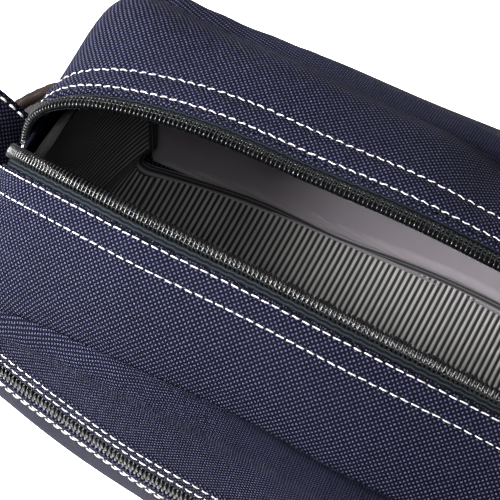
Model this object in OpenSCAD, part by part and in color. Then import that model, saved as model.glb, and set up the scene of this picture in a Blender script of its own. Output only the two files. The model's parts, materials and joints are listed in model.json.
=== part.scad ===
// Shaving kit bag: a soft boxy wash bag with a two-halved zip mouth, a zipped front pocket
// and a leather carry handle on its left end.
// Frame: X along the length, -Y the front, +Z up, origin under the middle of the bottom.

/* [Body] */
// Half of the length of the mouth, corner to corner
mouth_half = 127; // [110:1:150]
// Height of the two mouth corners
mouth_z = 83; // [70:1:100]
// Rise of the mouth's arch above its corners, in its own plane
mouth_rise = 44.5; // [30:0.1:60]
// Tilt of each zip row's plane from upright, which is also its closing angle
mouth_tilt = 18; // [10:0.1:30]
// Half length at the seam between walls and top panels
seam_half = 124; // [105:1:148]
// Height of that seam's lower ends
seam_z = 64; // [50:1:80]
// Rise of that seam above its ends
seam_rise = 43; // [30:1:60]
// Depth from the middle to the belly of the front
belly = 66.5; // [50:0.5:80]
// Height at which the walls are deepest
belly_z = 52; // [30:1:70]
// Radius of the walls' bow in plan
plan_r = 600; // [300:10:900]
// How far each end wall puffs out
end_puff = 5; // [0:0.5:12]

/* [Fabric] */
// Thickness of the outer fabric
cloth = 1; // [0.6:0.1:2]
// Thickness of a lining
lining = 0.8; // [0.4:0.1:1.5]
// Depth of the linings behind the outer face
lining_depth = 2.4; // [2:0.1:4]
// Depth of the front lining, which leaves room for the pocket
pocket_depth = 5.4; // [4:0.1:9]
// Thickness of the base stiffener
board = 1.4; // [0.8:0.1:3]

/* [Main zip] */
// Width of one row of the coil
coil_w = 3.6; // [2.5:0.1:5]
// Distance from the row's edge to the top panel's folded edge
fold_at = 6.3; // [5:0.1:9]
// Width of one zip tape
tape_w = 13.5; // [10:0.5:18]
// Length of chain that stays closed on the right end
chain_len = 27; // [20:1:40]
// Width of the zip-end tabs
tab_w = 28; // [20:1:36]

/* [Pocket zip] */
// Height of the pocket zip's middle
pocket_z = 71; // [62:1:95]
// Half of the length of the pocket zip
pocket_half = 115; // [80:1:115]
// Half of the gap between the two folded edges
pocket_gap = 5; // [3.5:0.5:8]

/* [Handle] */
// Bend radius of the strap in plan
strap_r = 48; // [42:1:60]
// Thickness of the strap
strap_t = 3.6; // [2.5:0.1:5]
// Width of the strap
strap_w = 20; // [14:1:28]
// Height of the handle's hinge line
strap_z = 45; // [35:1:70]

/* [Node] */
// Which sub-part to draw

/* [Hidden] */

arch_n = 2.6;             // roundness of both arches: 2 is an ellipse, more is boxier
wall_n = 2.3;             // roundness of the walls' upright section
wall_rise = 75;           // half height of that section
gap = 0.4;                // space between neighbouring pieces
edge_gap = 1.3;           // space along the seam between the walls and the top
arch_steps = 48;          // facets along an arch
band_steps = 6;           // facets across a top panel
wall_steps = 24;          // facets along a wall
lift_steps = 9;           // facets up a wall
slope = 27;               // mean fall of a top panel, from its row to its seam
puff = 2.2;               // how far a top panel stands proud of a straight line
band = 40.4;              // width of a top panel at the middle, from row to seam
end_x = mouth_half + 3.3; // the closed tape's face on the right end
slot = 0.75;              // half gap between two coils, where the slider's neck runs
coil_t = 1.7;             // thickness of a coil
tape_t = 0.5;             // thickness of a zip tape
slider_z = mouth_z - 4;   // middle of the main slider at rest
slider_len = 11;
slider_w = 9;
plate = 1.1;              // thickness of a slider's plates
pocket_at = 96;           // where the pocket slider rests, along the length
hinge_x = -mouth_half - 4.3; // the handle's hinge line

function lerp(a, b, t) = a + (b - a) * t;
function unit(v) = v / norm(v);
function flat(grid) = [for (row = grid) for (point = row) point];

// Superellipse arch: across from -1 to 1 and up from 0 to 1, for an angle from -90 to 90.
function across(a) = sign(a) * pow(abs(sin(a)), 2 / arch_n);
function up(a) = pow(abs(cos(a)), 2 / arch_n);

// Walls: depth of the front at a place, and half length of the front at a height.
function bow(x) = plan_r - sqrt(plan_r * plan_r - x * x);
function section(z) = belly * pow(1 - pow(abs(z - belly_z) / wall_rise, wall_n), 1 / wall_n);
function depth(x, z) = section(z) - bow(x);
function tuck(z) = 5 * pow((seam_z - z) / seam_z, 2);
function arch_x(z) = seam_half * pow(1 - pow((z - seam_z) / seam_rise, arch_n), 1 / arch_n);
function half_len(z) = z > seam_z ? arch_x(z) : seam_half - tuck(z);
function seam_top(x) = seam_z + seam_rise * pow(1 - pow(abs(x) / seam_half, arch_n), 1 / arch_n);
function end_half(z) = depth(seam_half, min(z, seam_z));
function end_bow(z) = end_puff * (1 - pow((z - 45) / 60, 2));

// A point of the front wall, of the right end wall and of the front top panel, each moved out by o.
function wall_point(x, z, o) = [x, -depth(x, z) - o, z];
function end_point(y, z, o) =
  [half_len(min(z, seam_z)) + end_bow(z) * (1 - pow(y / end_half(z), 2)) + o, y, z];
function row_point(a) = [mouth_half * across(a), -mouth_rise * up(a) * sin(mouth_tilt),
  mouth_z + mouth_rise * up(a) * cos(mouth_tilt)];
function seam_point(a) = let (x = seam_half * across(a), z = seam_z + seam_rise * up(a))
  [x, -depth(x, z), z];
function top_normal(a) =
  let (nx = sign(a) * pow(abs(across(a)), arch_n - 1) / mouth_half,
       nz = pow(up(a), arch_n - 1) / mouth_rise)
  unit([nx, -sin(slope) * nz, cos(slope) * nz]);
function top_point(a, t, o) =
  lerp(row_point(a), seam_point(a), t) + top_normal(a) * (4 * puff * t * (1 - t) + o);

// Grids of points: rows run along the piece, columns run down it.
function top_grid(t0, t1, o) = [for (i = [0 : arch_steps])
  [for (j = [0 : band_steps]) top_point(-90 + 180 * i / arch_steps, lerp(t0, t1, j / band_steps), o)]];
function wall_grid(high, low, o, inset) = [for (i = [0 : wall_steps]) [for (j = [0 : lift_steps])
  let (z = lerp(low, high, cos(90 * j / lift_steps)), u = -1 + 2 * i / wall_steps)
  wall_point(u * (half_len(z) - inset), z, o)]];
function strip_grid(half, low, o) = [for (i = [0 : wall_steps]) [for (j = [0 : 3])
  let (x = half * (-1 + 2 * i / wall_steps), z = lerp(seam_top(x) - edge_gap, low, j / 3))
  wall_point(x, z, o)]];
function end_width(z) = z > seam_z ? end_half(z) * (mouth_z - z) / (mouth_z - seam_z) : end_half(z);
function end_grid(high, low, o) = [for (i = [0 : 12]) [for (j = [0 : lift_steps])
  let (z = lerp(low, high, cos(90 * j / lift_steps)))
  end_point((-1 + i / 6) * (end_width(z) - gap), z, o)]];

// A closed slab between two grids of the same size.
module slab(outer, inner) {
  rows = len(outer);
  cols = len(outer[0]);
  n = rows * cols;
  skin = [for (i = [0 : rows - 2]) for (j = [0 : cols - 2])
    let (a = i * cols + j, b = a + cols) each [[a, b, b + 1], [a, b + 1, a + 1]]];
  back = [for (f = skin) [f[0] + n, f[2] + n, f[1] + n]];
  rim_low = [for (i = [0 : rows - 2]) let (a = i * cols, b = a + cols)
    each [[b, a, a + n], [b, a + n, b + n]]];
  rim_high = [for (i = [0 : rows - 2]) let (d = i * cols + cols - 1, c = d + cols)
    each [[d, c, c + n], [d, c + n, d + n]]];
  rim_left = [for (j = [0 : cols - 2]) each [[j, j + 1, j + 1 + n], [j, j + 1 + n, j + n]]];
  last = (rows - 1) * cols;
  rim_right = [for (j = [0 : cols - 2]) let (b = last + j, c = b + 1)
    each [[c, b, b + n], [c, b + n, c + n]]];
  polyhedron(concat(flat(outer), flat(inner)),
    concat(skin, back, rim_low, rim_high, rim_left, rim_right));
}

module rear() { mirror([0, 1, 0]) children(); }
module left() { mirror([1, 0, 0]) children(); }

// Outer shell
module wall(high, low, o, t, inset) {
  slab(wall_grid(high, low, o, inset), wall_grid(high, low, o - t, inset));
}
module navy() { color([0.17, 0.18, 0.27]) children(); }

module front_panel_upper() {
  low = pocket_z + pocket_gap;
  half = arch_x(low + 2 + edge_gap);
  navy() slab(strip_grid(half, low, 0), strip_grid(half, low, -cloth));
}
module front_panel_lower() { navy() wall(pocket_z - pocket_gap, cloth + gap, 0, cloth, edge_gap); }
module back_panel() { navy() rear() wall(seam_z + seam_rise - edge_gap, cloth + gap, 0, cloth, edge_gap); }

function base_edge(inset) = [for (i = [-12 : 12])
  let (x = (half_len(0) - inset) * i / 12) [x, -depth(x, 0) + inset]];
module base_outline(inset) {
  front = base_edge(inset);
  polygon(concat(front, [for (i = [len(front) - 1 : -1 : 0]) [front[i][0], -front[i][1]]]));
}
module bottom_panel() { navy() linear_extrude(cloth) base_outline(0); }

module end_wall(o, t) {
  slab(end_grid(mouth_z - 1, cloth + gap, o), end_grid(mouth_z - 1, cloth + gap, o - t));
}
module right_end_panel() { navy() end_wall(0, cloth); }
module left_end_panel() { navy() left() end_wall(0, cloth); }

// Inside
module base_stiffener() {
  color([0.2, 0.2, 0.2]) translate([0, 0, cloth + gap]) linear_extrude(board) base_outline(5);
}
floor_z = cloth + board + 2 * gap;
module floor_lining() {
  color([0.55, 0.55, 0.55]) translate([0, 0, floor_z]) linear_extrude(lining) base_outline(5);
}
module pocket_pouch() {
  color([0.3, 0.3, 0.32]) wall(pocket_z - 10, floor_z + 10, 0.9 - pocket_depth, 0.6, 10);
}
module wall_lining(depth) {
  wall(seam_z + seam_rise - 8, floor_z + lining + gap, -depth, lining, lining_depth + 3);
}
module front_lining() { color([0.42, 0.4, 0.42]) wall_lining(pocket_depth); }
module rear_lining() { color([0.42, 0.4, 0.42]) rear() wall_lining(lining_depth); }
module end_lining() {
  high = mouth_z - 8;
  low = floor_z + lining + gap;
  slab(lining_grid(high, low, -lining_depth), lining_grid(high, low, -lining_depth - lining));
}
function lining_grid(high, low, o) = [for (i = [0 : 12]) [for (j = [0 : lift_steps])
  let (z = lerp(low, high, cos(90 * j / lift_steps)))
  end_point((-1 + i / 6) * (end_width(z) - pocket_depth - lining - gap - 1), z, o)]];
module right_end_lining() { color([0.5, 0.5, 0.5]) end_lining(); }
module left_end_lining() { color([0.5, 0.5, 0.5]) left() end_lining(); }

bind_w = 3;                   // width of a folded binding
bind_t = 1.2;                 // its thickness, folded
bind_half = 108;              // the floor bindings' reach from the middle
bind_corner = 112;            // the corner bindings' inner edge from the middle
bind_z = floor_z + lining + gap;
module floor_binding(lining_at) {
  bind_in = lining_at + lining + 2 * gap;
  grid = function(o) [for (i = [0 : wall_steps]) [for (z = [bind_z + bind_w, bind_z])
    let (x = bind_half * (-1 + 2 * i / wall_steps)) wall_point(x, z, o)]];
  color([0.3, 0.3, 0.32]) slab(grid(-bind_in), grid(-bind_in - bind_t));
}
module front_floor_binding() { floor_binding(pocket_depth); }
module rear_floor_binding() { rear() floor_binding(lining_depth); }
module corner_binding(lining_at) {
  bind_in = lining_at + lining + 2 * gap;
  grid = function(o) [for (x = [bind_corner, bind_corner + bind_w]) [for (j = [0 : 6])
    wall_point(x, lerp(seam_z + 4, bind_z + bind_w + gap, j / 6), o)]];
  color([0.3, 0.3, 0.32]) slab(grid(-bind_in), grid(-bind_in - bind_t));
}
module front_right_binding() { corner_binding(pocket_depth); }
module front_left_binding() { left() corner_binding(pocket_depth); }
module rear_right_binding() { rear() corner_binding(lining_depth); }
module rear_left_binding() { rear() left() corner_binding(lining_depth); }

// The two halves of the top, with their tapes and coils
module top_band(d0, d1, o, t) {
  slab(top_grid(d0 / band, d1 / band, o), top_grid(d0 / band, d1 / band, o - t));
}
module top_panel() { navy() top_band(fold_at, band - edge_gap, 0, cloth); }
module facing() { color([0.42, 0.4, 0.42]) top_band(fold_at + 1, band - 6, -lining_depth, lining); }
module zip_tape() { color([0.1, 0.12, 0.13]) top_band(1.2, tape_w, -cloth - 0.3, tape_t); }
module coil() { color([0.08, 0.08, 0.09]) top_band(0.12, coil_w, coil_t - cloth - 0.25, coil_t); }
module front_top_panel() { top_panel(); }
module rear_top_panel() { rear() top_panel(); }
module front_facing() { facing(); }
module rear_facing() { rear() facing(); }
module front_zip_tape() { zip_tape(); }
module rear_zip_tape() { rear() zip_tape(); }
module front_coil() { coil(); }
module rear_coil() { rear() coil(); }

// Zip ends
left_tab_t = 2.4;              // the left tab's thickness
left_tab_len = 21;             // the left tab's length
left_tab_lean = 30;            // the left tab's lean, outwards from upright
module left_zip_tab() {
  navy() translate([-mouth_half - 3.6, -tab_w / 2, mouth_z - 4])
    rotate([0, -left_tab_lean, 0]) cube([left_tab_t, tab_w, left_tab_len]);
}
tab_top = mouth_z - chain_len - 1;
right_tab_len = 20;            // the right tab's length
right_tab_t = 2.2;             // the right tab's thickness
module right_zip_tab() {
  navy() translate([end_x - 0.8, -tab_w / 2, tab_top - right_tab_len])
    cube([right_tab_t, tab_w, right_tab_len]);
}
chain_coil_w = 2.6;            // width of one coil of the closed chain
closed_tape_w = 9;             // width of one closed tape
stop_len = 1.6;                // the bottom stop's length along the chain
module both_sides() { children(); rear() children(); }
module closed_tape() {
  color([0.1, 0.12, 0.13]) both_sides()
    translate([end_x, slot, mouth_z - chain_len]) cube([tape_t, closed_tape_w, chain_len]);
}
module closed_chain() {
  color([0.08, 0.08, 0.09]) both_sides()
    translate([end_x + tape_t, slot, mouth_z - chain_len + 2]) cube([coil_t, chain_coil_w, chain_len - 2]);
}
module bottom_stop() {
  color([0.35, 0.35, 0.37]) translate([end_x + tape_t, -3, mouth_z - chain_len]) cube([coil_t, 6, stop_len]);
}

// A slider drawn along +X, its neck leading, its chain's mid-plane at Z = 0
chain_mid = tape_t + coil_t / 2;      // chain's mid-plane above the tape's back
under = -chain_mid - 0.4 - plate;     // underside of the lower plate
over = coil_t / 2 + 0.35;             // underside of the upper plate
bail_in = over + plate;               // face of the upper plate
bail_h = 3.4;                         // height of the bail's window
post_at = 3.45;                       // middle of the bail's front post
wing = 0.8;                           // thickness of the slider's sides and neck
module slider_outline() {
  intersection() {
    translate([-slider_len / 2, -slider_w / 2]) square([slider_len, slider_w]);
    translate([-2, 0]) circle(r = slider_w * 0.72, $fn = 96);
  }
}
module slider() {
  translate([0, 0, under]) linear_extrude(plate) slider_outline();
  translate([0, 0, over]) linear_extrude(plate) slider_outline();
  translate([slider_len / 2 - 3, -wing / 2, under + plate / 2]) cube([2, wing, over - under]);
  for (side = [-1, 1]) translate([-slider_len / 2, side * (slider_w / 2 - wing / 2) - wing / 2, 0])
    cube([slider_len - 3, wing, over + plate / 2]);
  difference() {
    translate([-4, -0.8, bail_in - 0.3]) cube([8, 1.6, bail_h + 1.5]);
    translate([-2.9, -2, bail_in]) cube([5.8, 4, bail_h]);
  }
}
pull_at = bail_in + bail_h / 2;       // puller's cross bar above the chain
pull_len = 27;                        // from the bail to the middle of the puller's round end
pull_half = 3.6;                      // half the puller's width
pull_t = 1.2;                         // the puller's thickness
module puller() {
  difference() {
    union() {
      translate([-pull_len, -pull_half, -pull_t / 2]) cube([pull_len - 8, 2 * pull_half, pull_t]);
      translate([-9, -pull_half, -pull_t / 2]) cube([10, 2 * pull_half, pull_t]);
      translate([-pull_len, 0, -pull_t / 2]) cylinder(h = pull_t, r = pull_half, $fn = 64);
    }
    translate([-5.6, -2.3, -1]) cube([4.8, 4.6, 2]);
    translate([-pull_len, 0, -1]) cylinder(h = 2, r = 1.2, $fn = 48);
  }
}
module at_main_slider() {
  translate([end_x + chain_mid, 0, slider_z]) rotate([0, 90, 0]) mirror([1, 0, 0]) children();
}
module main_slider() { color([0.2, 0.2, 0.21]) at_main_slider() slider(); }
module main_puller() {
  color([0.2, 0.2, 0.21]) at_main_slider() translate([-0.3, 0, pull_at]) puller();
}

// Pocket zip, bent round the walls' own centre
pocket_r = plan_r;
pocket_y = plan_r - section(pocket_z);
module bent(low, high, inner, outer) {
  angle = 2 * asin(pocket_half / pocket_r);
  translate([0, pocket_y, 0]) rotate([0, 0, -90 - angle / 2])
    rotate_extrude(angle = angle, $fn = 720) translate([pocket_r + inner, low])
      square([outer - inner, high - low]);
}
tape_back = -cloth - 0.3 - tape_t;
coil_gap = 0.2;              // a coil's clearance in front of its tape
pocket_coil_w = 2.3;         // width of one coil
tape_flat = slider_w / 2 + 0.15; // the tape stays flat this far from the middle, to pass the slider
tape_high = 5.5;             // the upper tape's reach above the middle
tape_low = 9;                // the lower tape's reach below the middle
function tape_point(x, up, o) =
  wall_point(x, pocket_z + up, o + (abs(up) > tape_flat + gap / 2 ? 0 :
    depth(x, pocket_z) - depth(x, pocket_z + up)));
function pocket_grid(ups, o) = [for (i = [0 : wall_steps]) [for (up = ups)
  tape_point(pocket_half * (-1 + 2 * i / wall_steps), up, o)]];
module pocket_tape(ups) {
  color([0.16, 0.16, 0.18]) slab(pocket_grid(ups, tape_back + tape_t), pocket_grid(ups, tape_back));
}
module pocket_tape_upper() { pocket_tape([tape_high, tape_flat + 0.75 * gap, tape_flat, slot]); }
module pocket_tape_lower() { pocket_tape([-slot, -tape_flat, -tape_flat - 0.75 * gap, -tape_low]); }
module pocket_coil(low) {
  color([0.08, 0.08, 0.09])
    bent(low, low + pocket_coil_w, tape_back + tape_t + coil_gap, tape_back + tape_t + coil_t + coil_gap);
}
module pocket_coil_upper() { pocket_coil(pocket_z + slot); }
module pocket_coil_lower() { pocket_coil(pocket_z - slot - pocket_coil_w); }
module along_pocket(x) {
  translate([0, pocket_y, pocket_z]) rotate([0, 0, asin(x / pocket_r)])
    translate([0, -pocket_r - tape_back - chain_mid, 0]) rotate([90, 0, 0]) children();
}
module pocket_stops() {
  color([0.35, 0.35, 0.37]) for (end = [-1, 1]) along_pocket(end * (pocket_half - 1.5))
    translate([-0.7, -slot + 0.1, -coil_t / 2]) cube([1.4, 2 * slot - 0.2, coil_t]);
}
module pocket_slider() { color([0.2, 0.2, 0.21]) along_pocket(pocket_at) slider(); }
module pocket_puller() {
  color([0.2, 0.2, 0.21]) along_pocket(pocket_at) translate([post_at, 0, pull_at])
    rotate([0, 0, 90]) translate([1.9, 0, 0]) puller();
}

// Handle
lug_t = 1;                   // thickness of a lug
lug_w = 10;                  // width of a lug across the end
lug_h = 17;                  // height of a lug
lug_out = 47;                // a lug's outer edge, from the middle of the end
module handle_strap() {
  side = [[-2.2, 2], [5.5, 7.5], [12, strap_w / 2], [40, strap_w / 2]];
  edge = concat([for (p = side) [hinge_x - p[0], p[1]]],
    [for (i = [3 : -1 : 0]) [hinge_x - side[i][0], -side[i][1]]]);
  color([0.16, 0.09, 0.07]) intersection() {
    translate([-mouth_half + 26, 0, strap_z - strap_w / 2]) difference() {
      cylinder(h = strap_w, r = strap_r + strap_t / 2, $fn = 180);
      translate([0, 0, -1]) cylinder(h = strap_w + 2, r = strap_r - strap_t / 2, $fn = 180);
    }
    translate([0, 60, strap_z]) rotate([90, 0, 0]) linear_extrude(120) polygon(edge);
  }
}
module handle_lug() {
  color([0.16, 0.09, 0.07]) translate([hinge_x + 3.3, -lug_out, strap_z - lug_h / 2])
    cube([lug_t, lug_w, lug_h]);
}
module front_handle_lug() { handle_lug(); }
module rear_handle_lug() { rear() handle_lug(); }

front_panel_upper();
front_panel_lower();
back_panel();
bottom_panel();
left_end_panel();
right_end_panel();
base_stiffener();
pocket_pouch();
front_lining();
rear_lining();
floor_lining();
left_end_lining();
right_end_lining();
front_floor_binding();
rear_floor_binding();
front_left_binding();
front_right_binding();
rear_left_binding();
rear_right_binding();
left_zip_tab();
right_zip_tab();
closed_tape();
closed_chain();
bottom_stop();
front_top_panel();
rear_top_panel();
front_facing();
rear_facing();
front_zip_tape();
rear_zip_tape();
front_coil();
rear_coil();
main_slider();
main_puller();
pocket_tape_upper();
pocket_tape_lower();
pocket_coil_upper();
pocket_coil_lower();
pocket_stops();
pocket_slider();
pocket_puller();
handle_strap();
front_handle_lug();
rear_handle_lug();
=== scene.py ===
"""Shaving kit bag, standing open: navy basket-weave cloth, an arched zip mouth, a pocket zip, ribbed lining.

Every soft surface is a function of two parameters, in millimetres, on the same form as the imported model.
A strip, fold, tape or lining is a small closed profile carried along one of those surfaces.
"""
from __future__ import annotations

import json
import logging
from dataclasses import dataclass, field
from enum import Enum
from typing import Callable, Sequence

import bmesh
import bpy
import numpy as np
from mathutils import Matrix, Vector

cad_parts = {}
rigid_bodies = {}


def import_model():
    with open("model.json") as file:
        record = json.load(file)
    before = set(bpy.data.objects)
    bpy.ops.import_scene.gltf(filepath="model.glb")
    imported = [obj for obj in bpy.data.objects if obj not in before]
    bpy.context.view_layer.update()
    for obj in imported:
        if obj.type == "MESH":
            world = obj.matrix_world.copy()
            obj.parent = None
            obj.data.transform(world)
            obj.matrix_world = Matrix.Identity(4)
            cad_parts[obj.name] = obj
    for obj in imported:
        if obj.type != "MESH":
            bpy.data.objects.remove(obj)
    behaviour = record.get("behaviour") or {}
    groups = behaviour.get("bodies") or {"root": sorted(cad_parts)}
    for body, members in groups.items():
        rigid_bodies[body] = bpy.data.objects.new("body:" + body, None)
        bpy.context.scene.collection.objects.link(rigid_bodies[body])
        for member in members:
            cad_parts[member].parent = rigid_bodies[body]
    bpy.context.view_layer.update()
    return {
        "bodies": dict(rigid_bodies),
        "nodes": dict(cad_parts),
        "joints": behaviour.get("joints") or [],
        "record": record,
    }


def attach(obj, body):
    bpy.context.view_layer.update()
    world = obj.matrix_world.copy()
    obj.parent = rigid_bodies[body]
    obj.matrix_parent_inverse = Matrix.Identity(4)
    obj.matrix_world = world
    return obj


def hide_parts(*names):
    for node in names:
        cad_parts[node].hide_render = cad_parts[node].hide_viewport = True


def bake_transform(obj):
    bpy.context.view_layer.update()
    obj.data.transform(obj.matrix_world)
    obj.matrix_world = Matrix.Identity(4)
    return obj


log = logging.getLogger("shaving_kit_bag")
MM = 0.001
Array = np.ndarray
Surface = Callable[[Array, Array], Array]

FRAME: dict = {}

# Small changes of a surface's two parameters, for its slopes: millimetres on both, or a share of a width.
ROW_STEPS = (0.02, 0.3)
FLAT_STEPS = (0.3, 0.3)
SHARE_STEPS = (0.005, 0.3)
BEND_STEPS = (0.004, 0.3)
STRIP_STEPS = (0.3, 0.004)


class Side(Enum):
    """Which half of the top or which long wall; the value is the sign of Y."""

    FRONT = -1
    REAR = 1


class End(Enum):
    """Which end of the bag; the value is the sign of X."""

    LEFT = -1
    RIGHT = 1


# ------------------------------------------------------------------ shader maths


class Socket:
    """An output socket that adds Math nodes when it is used in an expression."""

    def __init__(self, tree: bpy.types.NodeTree, out: bpy.types.NodeSocket) -> None:
        """Keep the node tree and the socket."""
        self.tree = tree
        self.out = out

    def math(self, operation: str, *others: Socket | float) -> Socket:
        """Add one Math node.

        Args:
            operation: the Math node's operation.
            others: the second and third operands, sockets or numbers.

        Returns:
            The node's result.
        """
        node = self.tree.nodes.new("ShaderNodeMath")
        node.operation = operation
        for index, value in enumerate((self, *others)):
            if isinstance(value, Socket):
                self.tree.links.new(value.out, node.inputs[index])
            else:
                node.inputs[index].default_value = float(value)
        return Socket(self.tree, node.outputs[0])

    def __add__(self, other: Socket | float) -> Socket:
        """Sum."""
        return self.math("ADD", other)

    __radd__ = __add__

    def __mul__(self, other: Socket | float) -> Socket:
        """Product."""
        return self.math("MULTIPLY", other)

    __rmul__ = __mul__

    def __sub__(self, other: Socket | float) -> Socket:
        """Difference."""
        return self.math("SUBTRACT", other)

    def __rsub__(self, other: float) -> Socket:
        """Difference, the number first."""
        return (self * -1.0) + other

    def __truediv__(self, other: Socket | float) -> Socket:
        """Quotient."""
        return self.math("DIVIDE", other)

    def __pow__(self, other: Socket | float) -> Socket:
        """Power."""
        return self.math("POWER", other)

    def sin(self) -> Socket:
        """Sine, in radians."""
        return self.math("SINE")

    def abs(self) -> Socket:
        """Absolute value."""
        return self.math("ABSOLUTE")

    def fract(self) -> Socket:
        """Fractional part."""
        return self.math("FRACT")

    def least(self, other: Socket | float) -> Socket:
        """The smaller of two."""
        return self.math("MINIMUM", other)

    def most(self, other: Socket | float) -> Socket:
        """The larger of two."""
        return self.math("MAXIMUM", other)

    def step(self, low: float, high: float) -> Socket:
        """Smooth step from 0 at low to 1 at high."""
        node = self.tree.nodes.new("ShaderNodeMapRange")
        node.interpolation_type = "SMOOTHSTEP"
        self.tree.links.new(self.out, node.inputs["Value"])
        node.inputs["From Min"].default_value = low
        node.inputs["From Max"].default_value = high
        return Socket(self.tree, node.outputs["Result"])


class Paint:
    """One material being built: its tree, its shader and the coordinates that its patterns read."""

    def __init__(self, name: str) -> None:
        """Make the material with a single Principled shader."""
        self.material = bpy.data.materials.new(name)
        self.material.use_nodes = True
        self.tree = self.material.node_tree
        self.shader = next(n for n in self.tree.nodes if n.type == "BSDF_PRINCIPLED")
        self.coords = self.node("ShaderNodeTexCoord")

    def node(self, kind: str, settings: dict | None = None, **sockets: object) -> bpy.types.Node:
        """Add any node.

        Args:
            kind: the node's type.
            settings: attributes to set first; "stops" sets a colour ramp's stops.
            sockets: values or links of its inputs, by name, a double underscore standing for a space.

        Returns:
            The node.
        """
        node = self.tree.nodes.new(kind)
        for key, value in (settings or {}).items():
            if key == "stops":
                ramp = node.color_ramp.elements
                while len(ramp) < len(value):
                    ramp.new(0.5)
                for stop, (place, colour) in zip(ramp, value):
                    stop.position = place
                    stop.color = colour
            else:
                setattr(node, key, value)
        for key, value in sockets.items():
            socket = node.inputs[key.replace("__", " ")]
            if isinstance(value, Socket):
                self.tree.links.new(value.out, socket)
            elif isinstance(value, bpy.types.NodeSocket):
                self.tree.links.new(value, socket)
            else:
                socket.default_value = value
        return node

    def object_coords(self) -> bpy.types.NodeSocket:
        """Object coordinates, in metres."""
        return self.coords.outputs["Object"]

    def uv(self) -> tuple[Socket, Socket]:
        """The piece's own UV map, in metres along and across the cloth."""
        split = self.node("ShaderNodeSeparateXYZ", Vector=self.coords.outputs["UV"])
        return Socket(self.tree, split.outputs[0]), Socket(self.tree, split.outputs[1])

    def noise(self, scale: float, detail: float = 2.0) -> Socket:
        """Noise from 0 to 1 in object space."""
        made = self.node("ShaderNodeTexNoise", Vector=self.object_coords(), Scale=scale, Detail=detail)
        return Socket(self.tree, made.outputs["Fac"])

    def mix(self, factor: Socket, low: Sequence[float] | bpy.types.NodeSocket,
            high: Sequence[float] | bpy.types.NodeSocket) -> bpy.types.NodeSocket:
        """Mix two colours by a factor."""
        made = self.tree.nodes.new("ShaderNodeMix")
        made.data_type = "RGBA"
        self.tree.links.new(factor.out, made.inputs[0])
        for socket, value in ((made.inputs[6], low), (made.inputs[7], high)):
            if isinstance(value, bpy.types.NodeSocket):
                self.tree.links.new(value, socket)
            else:
                socket.default_value = (*value, 1.0)
        return made.outputs[2]

    def finish(self, colour: bpy.types.NodeSocket, roughness: Socket | float, height: Socket | None = None,
               depth: float = 0.0002, strength: float = 1.0, **constants: float) -> bpy.types.Material:
        """Link the colour, roughness and relief to the shader.

        Args:
            colour: the base colour.
            roughness: a socket or a number.
            height: relief from 0 to 1.
            depth: what a height of 1 stands for, in metres.
            strength: the bump's strength.
            constants: other sockets of the shader, set directly.

        Returns:
            The material.
        """
        self.tree.links.new(colour, self.shader.inputs["Base Color"])
        if isinstance(roughness, Socket):
            self.tree.links.new(roughness.out, self.shader.inputs["Roughness"])
        else:
            self.shader.inputs["Roughness"].default_value = roughness
        if height is not None:
            bump = self.node("ShaderNodeBump", Height=height, Distance=depth, Strength=strength)
            self.tree.links.new(bump.outputs[0], self.shader.inputs["Normal"])
        for key, value in constants.items():
            self.shader.inputs[key.replace("__", " ")].default_value = value
        return self.material


# ------------------------------------------------------------------ finishes


@dataclass(frozen=True)
class BasketWeave:
    """Coarse two-by-two basket weave in navy yarn, with painted light on the yarns' crowns and painted shade
    in the gaps between the yarns.
    """

    # yarn is the navy with painted light on the crowns; shade is the painted shade in the gaps.
    yarn: tuple[float, float, float] = (0.105, 0.107, 0.185)
    shade: tuple[float, float, float] = (0.0004, 0.0004, 0.0045)
    pitch: float = 0.00150
    bump: float = 0.00030

    def make(self) -> bpy.types.Material:
        """Dots in a chequer of warp and weft: the product of two sines, tilted by a slower noise."""
        paint = Paint("navy_canvas")
        u, v = paint.uv()
        wave = 2.0 * np.pi / self.pitch
        wander = (paint.noise(220.0) - 0.5) * 1.1
        chequer = ((u * wave + wander).sin()) * ((v * wave + wander * 0.7).sin())
        knuckle = chequer.abs() ** 0.7
        over = chequer.step(-0.25, 0.35)
        fibre = paint.noise(2600.0, 3.0)
        height = knuckle * (over * 0.75 + 0.25) + fibre * 0.12
        # Painted light and shade: the crowns take the lit yarn colour, the gaps and under-crossings take the
        # shade colour.
        tone = (knuckle * (over * 0.80 + 0.20)) ** 1.7 * (fibre * 1.3 + 0.25)
        # Slow random patches, partly the cloth's own uneven tone and partly painted shade for the unevenly
        # lit panels.
        tone_and_shade_patches = paint.noise(26.0, 3.0) * 0.35 + 0.82
        colour = paint.mix((tone * tone_and_shade_patches).least(1.0), self.shade, self.yarn)
        rough = 0.86 - tone * 0.15
        return paint.finish(colour, rough, height, self.bump, 0.9, Specular__IOR__Level=0.06)


@dataclass(frozen=True)
class RibbedLining:
    """Pinstripe rib: a pale rounded rib and a black groove, across the strip."""

    rib: tuple[float, float, float] = (0.38, 0.37, 0.36)
    groove: tuple[float, float, float] = (0.004, 0.004, 0.005)
    pitch: float = 0.0019

    def make(self) -> bpy.types.Material:
        """A rib is the upper part of a sine along the strip, with fine threads across it."""
        paint = Paint("ribbed_lining")
        u, v = paint.uv()
        rib = ((u * (2.0 * np.pi / self.pitch)).sin() * 0.5 + 0.5)
        face = rib.step(0.30, 0.72)
        thread = (v * (2.0 * np.pi / 0.0006)).sin() * 0.5 + 0.5
        wear = paint.noise(90.0, 3.0) * 0.5 + 0.72
        colour = paint.mix(face * wear * (thread * 0.2 + 0.8), self.groove, self.rib)
        return paint.finish(colour, 0.75, rib + thread * 0.08, 0.00045, 0.9, Sheen__Weight=0.08)


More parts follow.
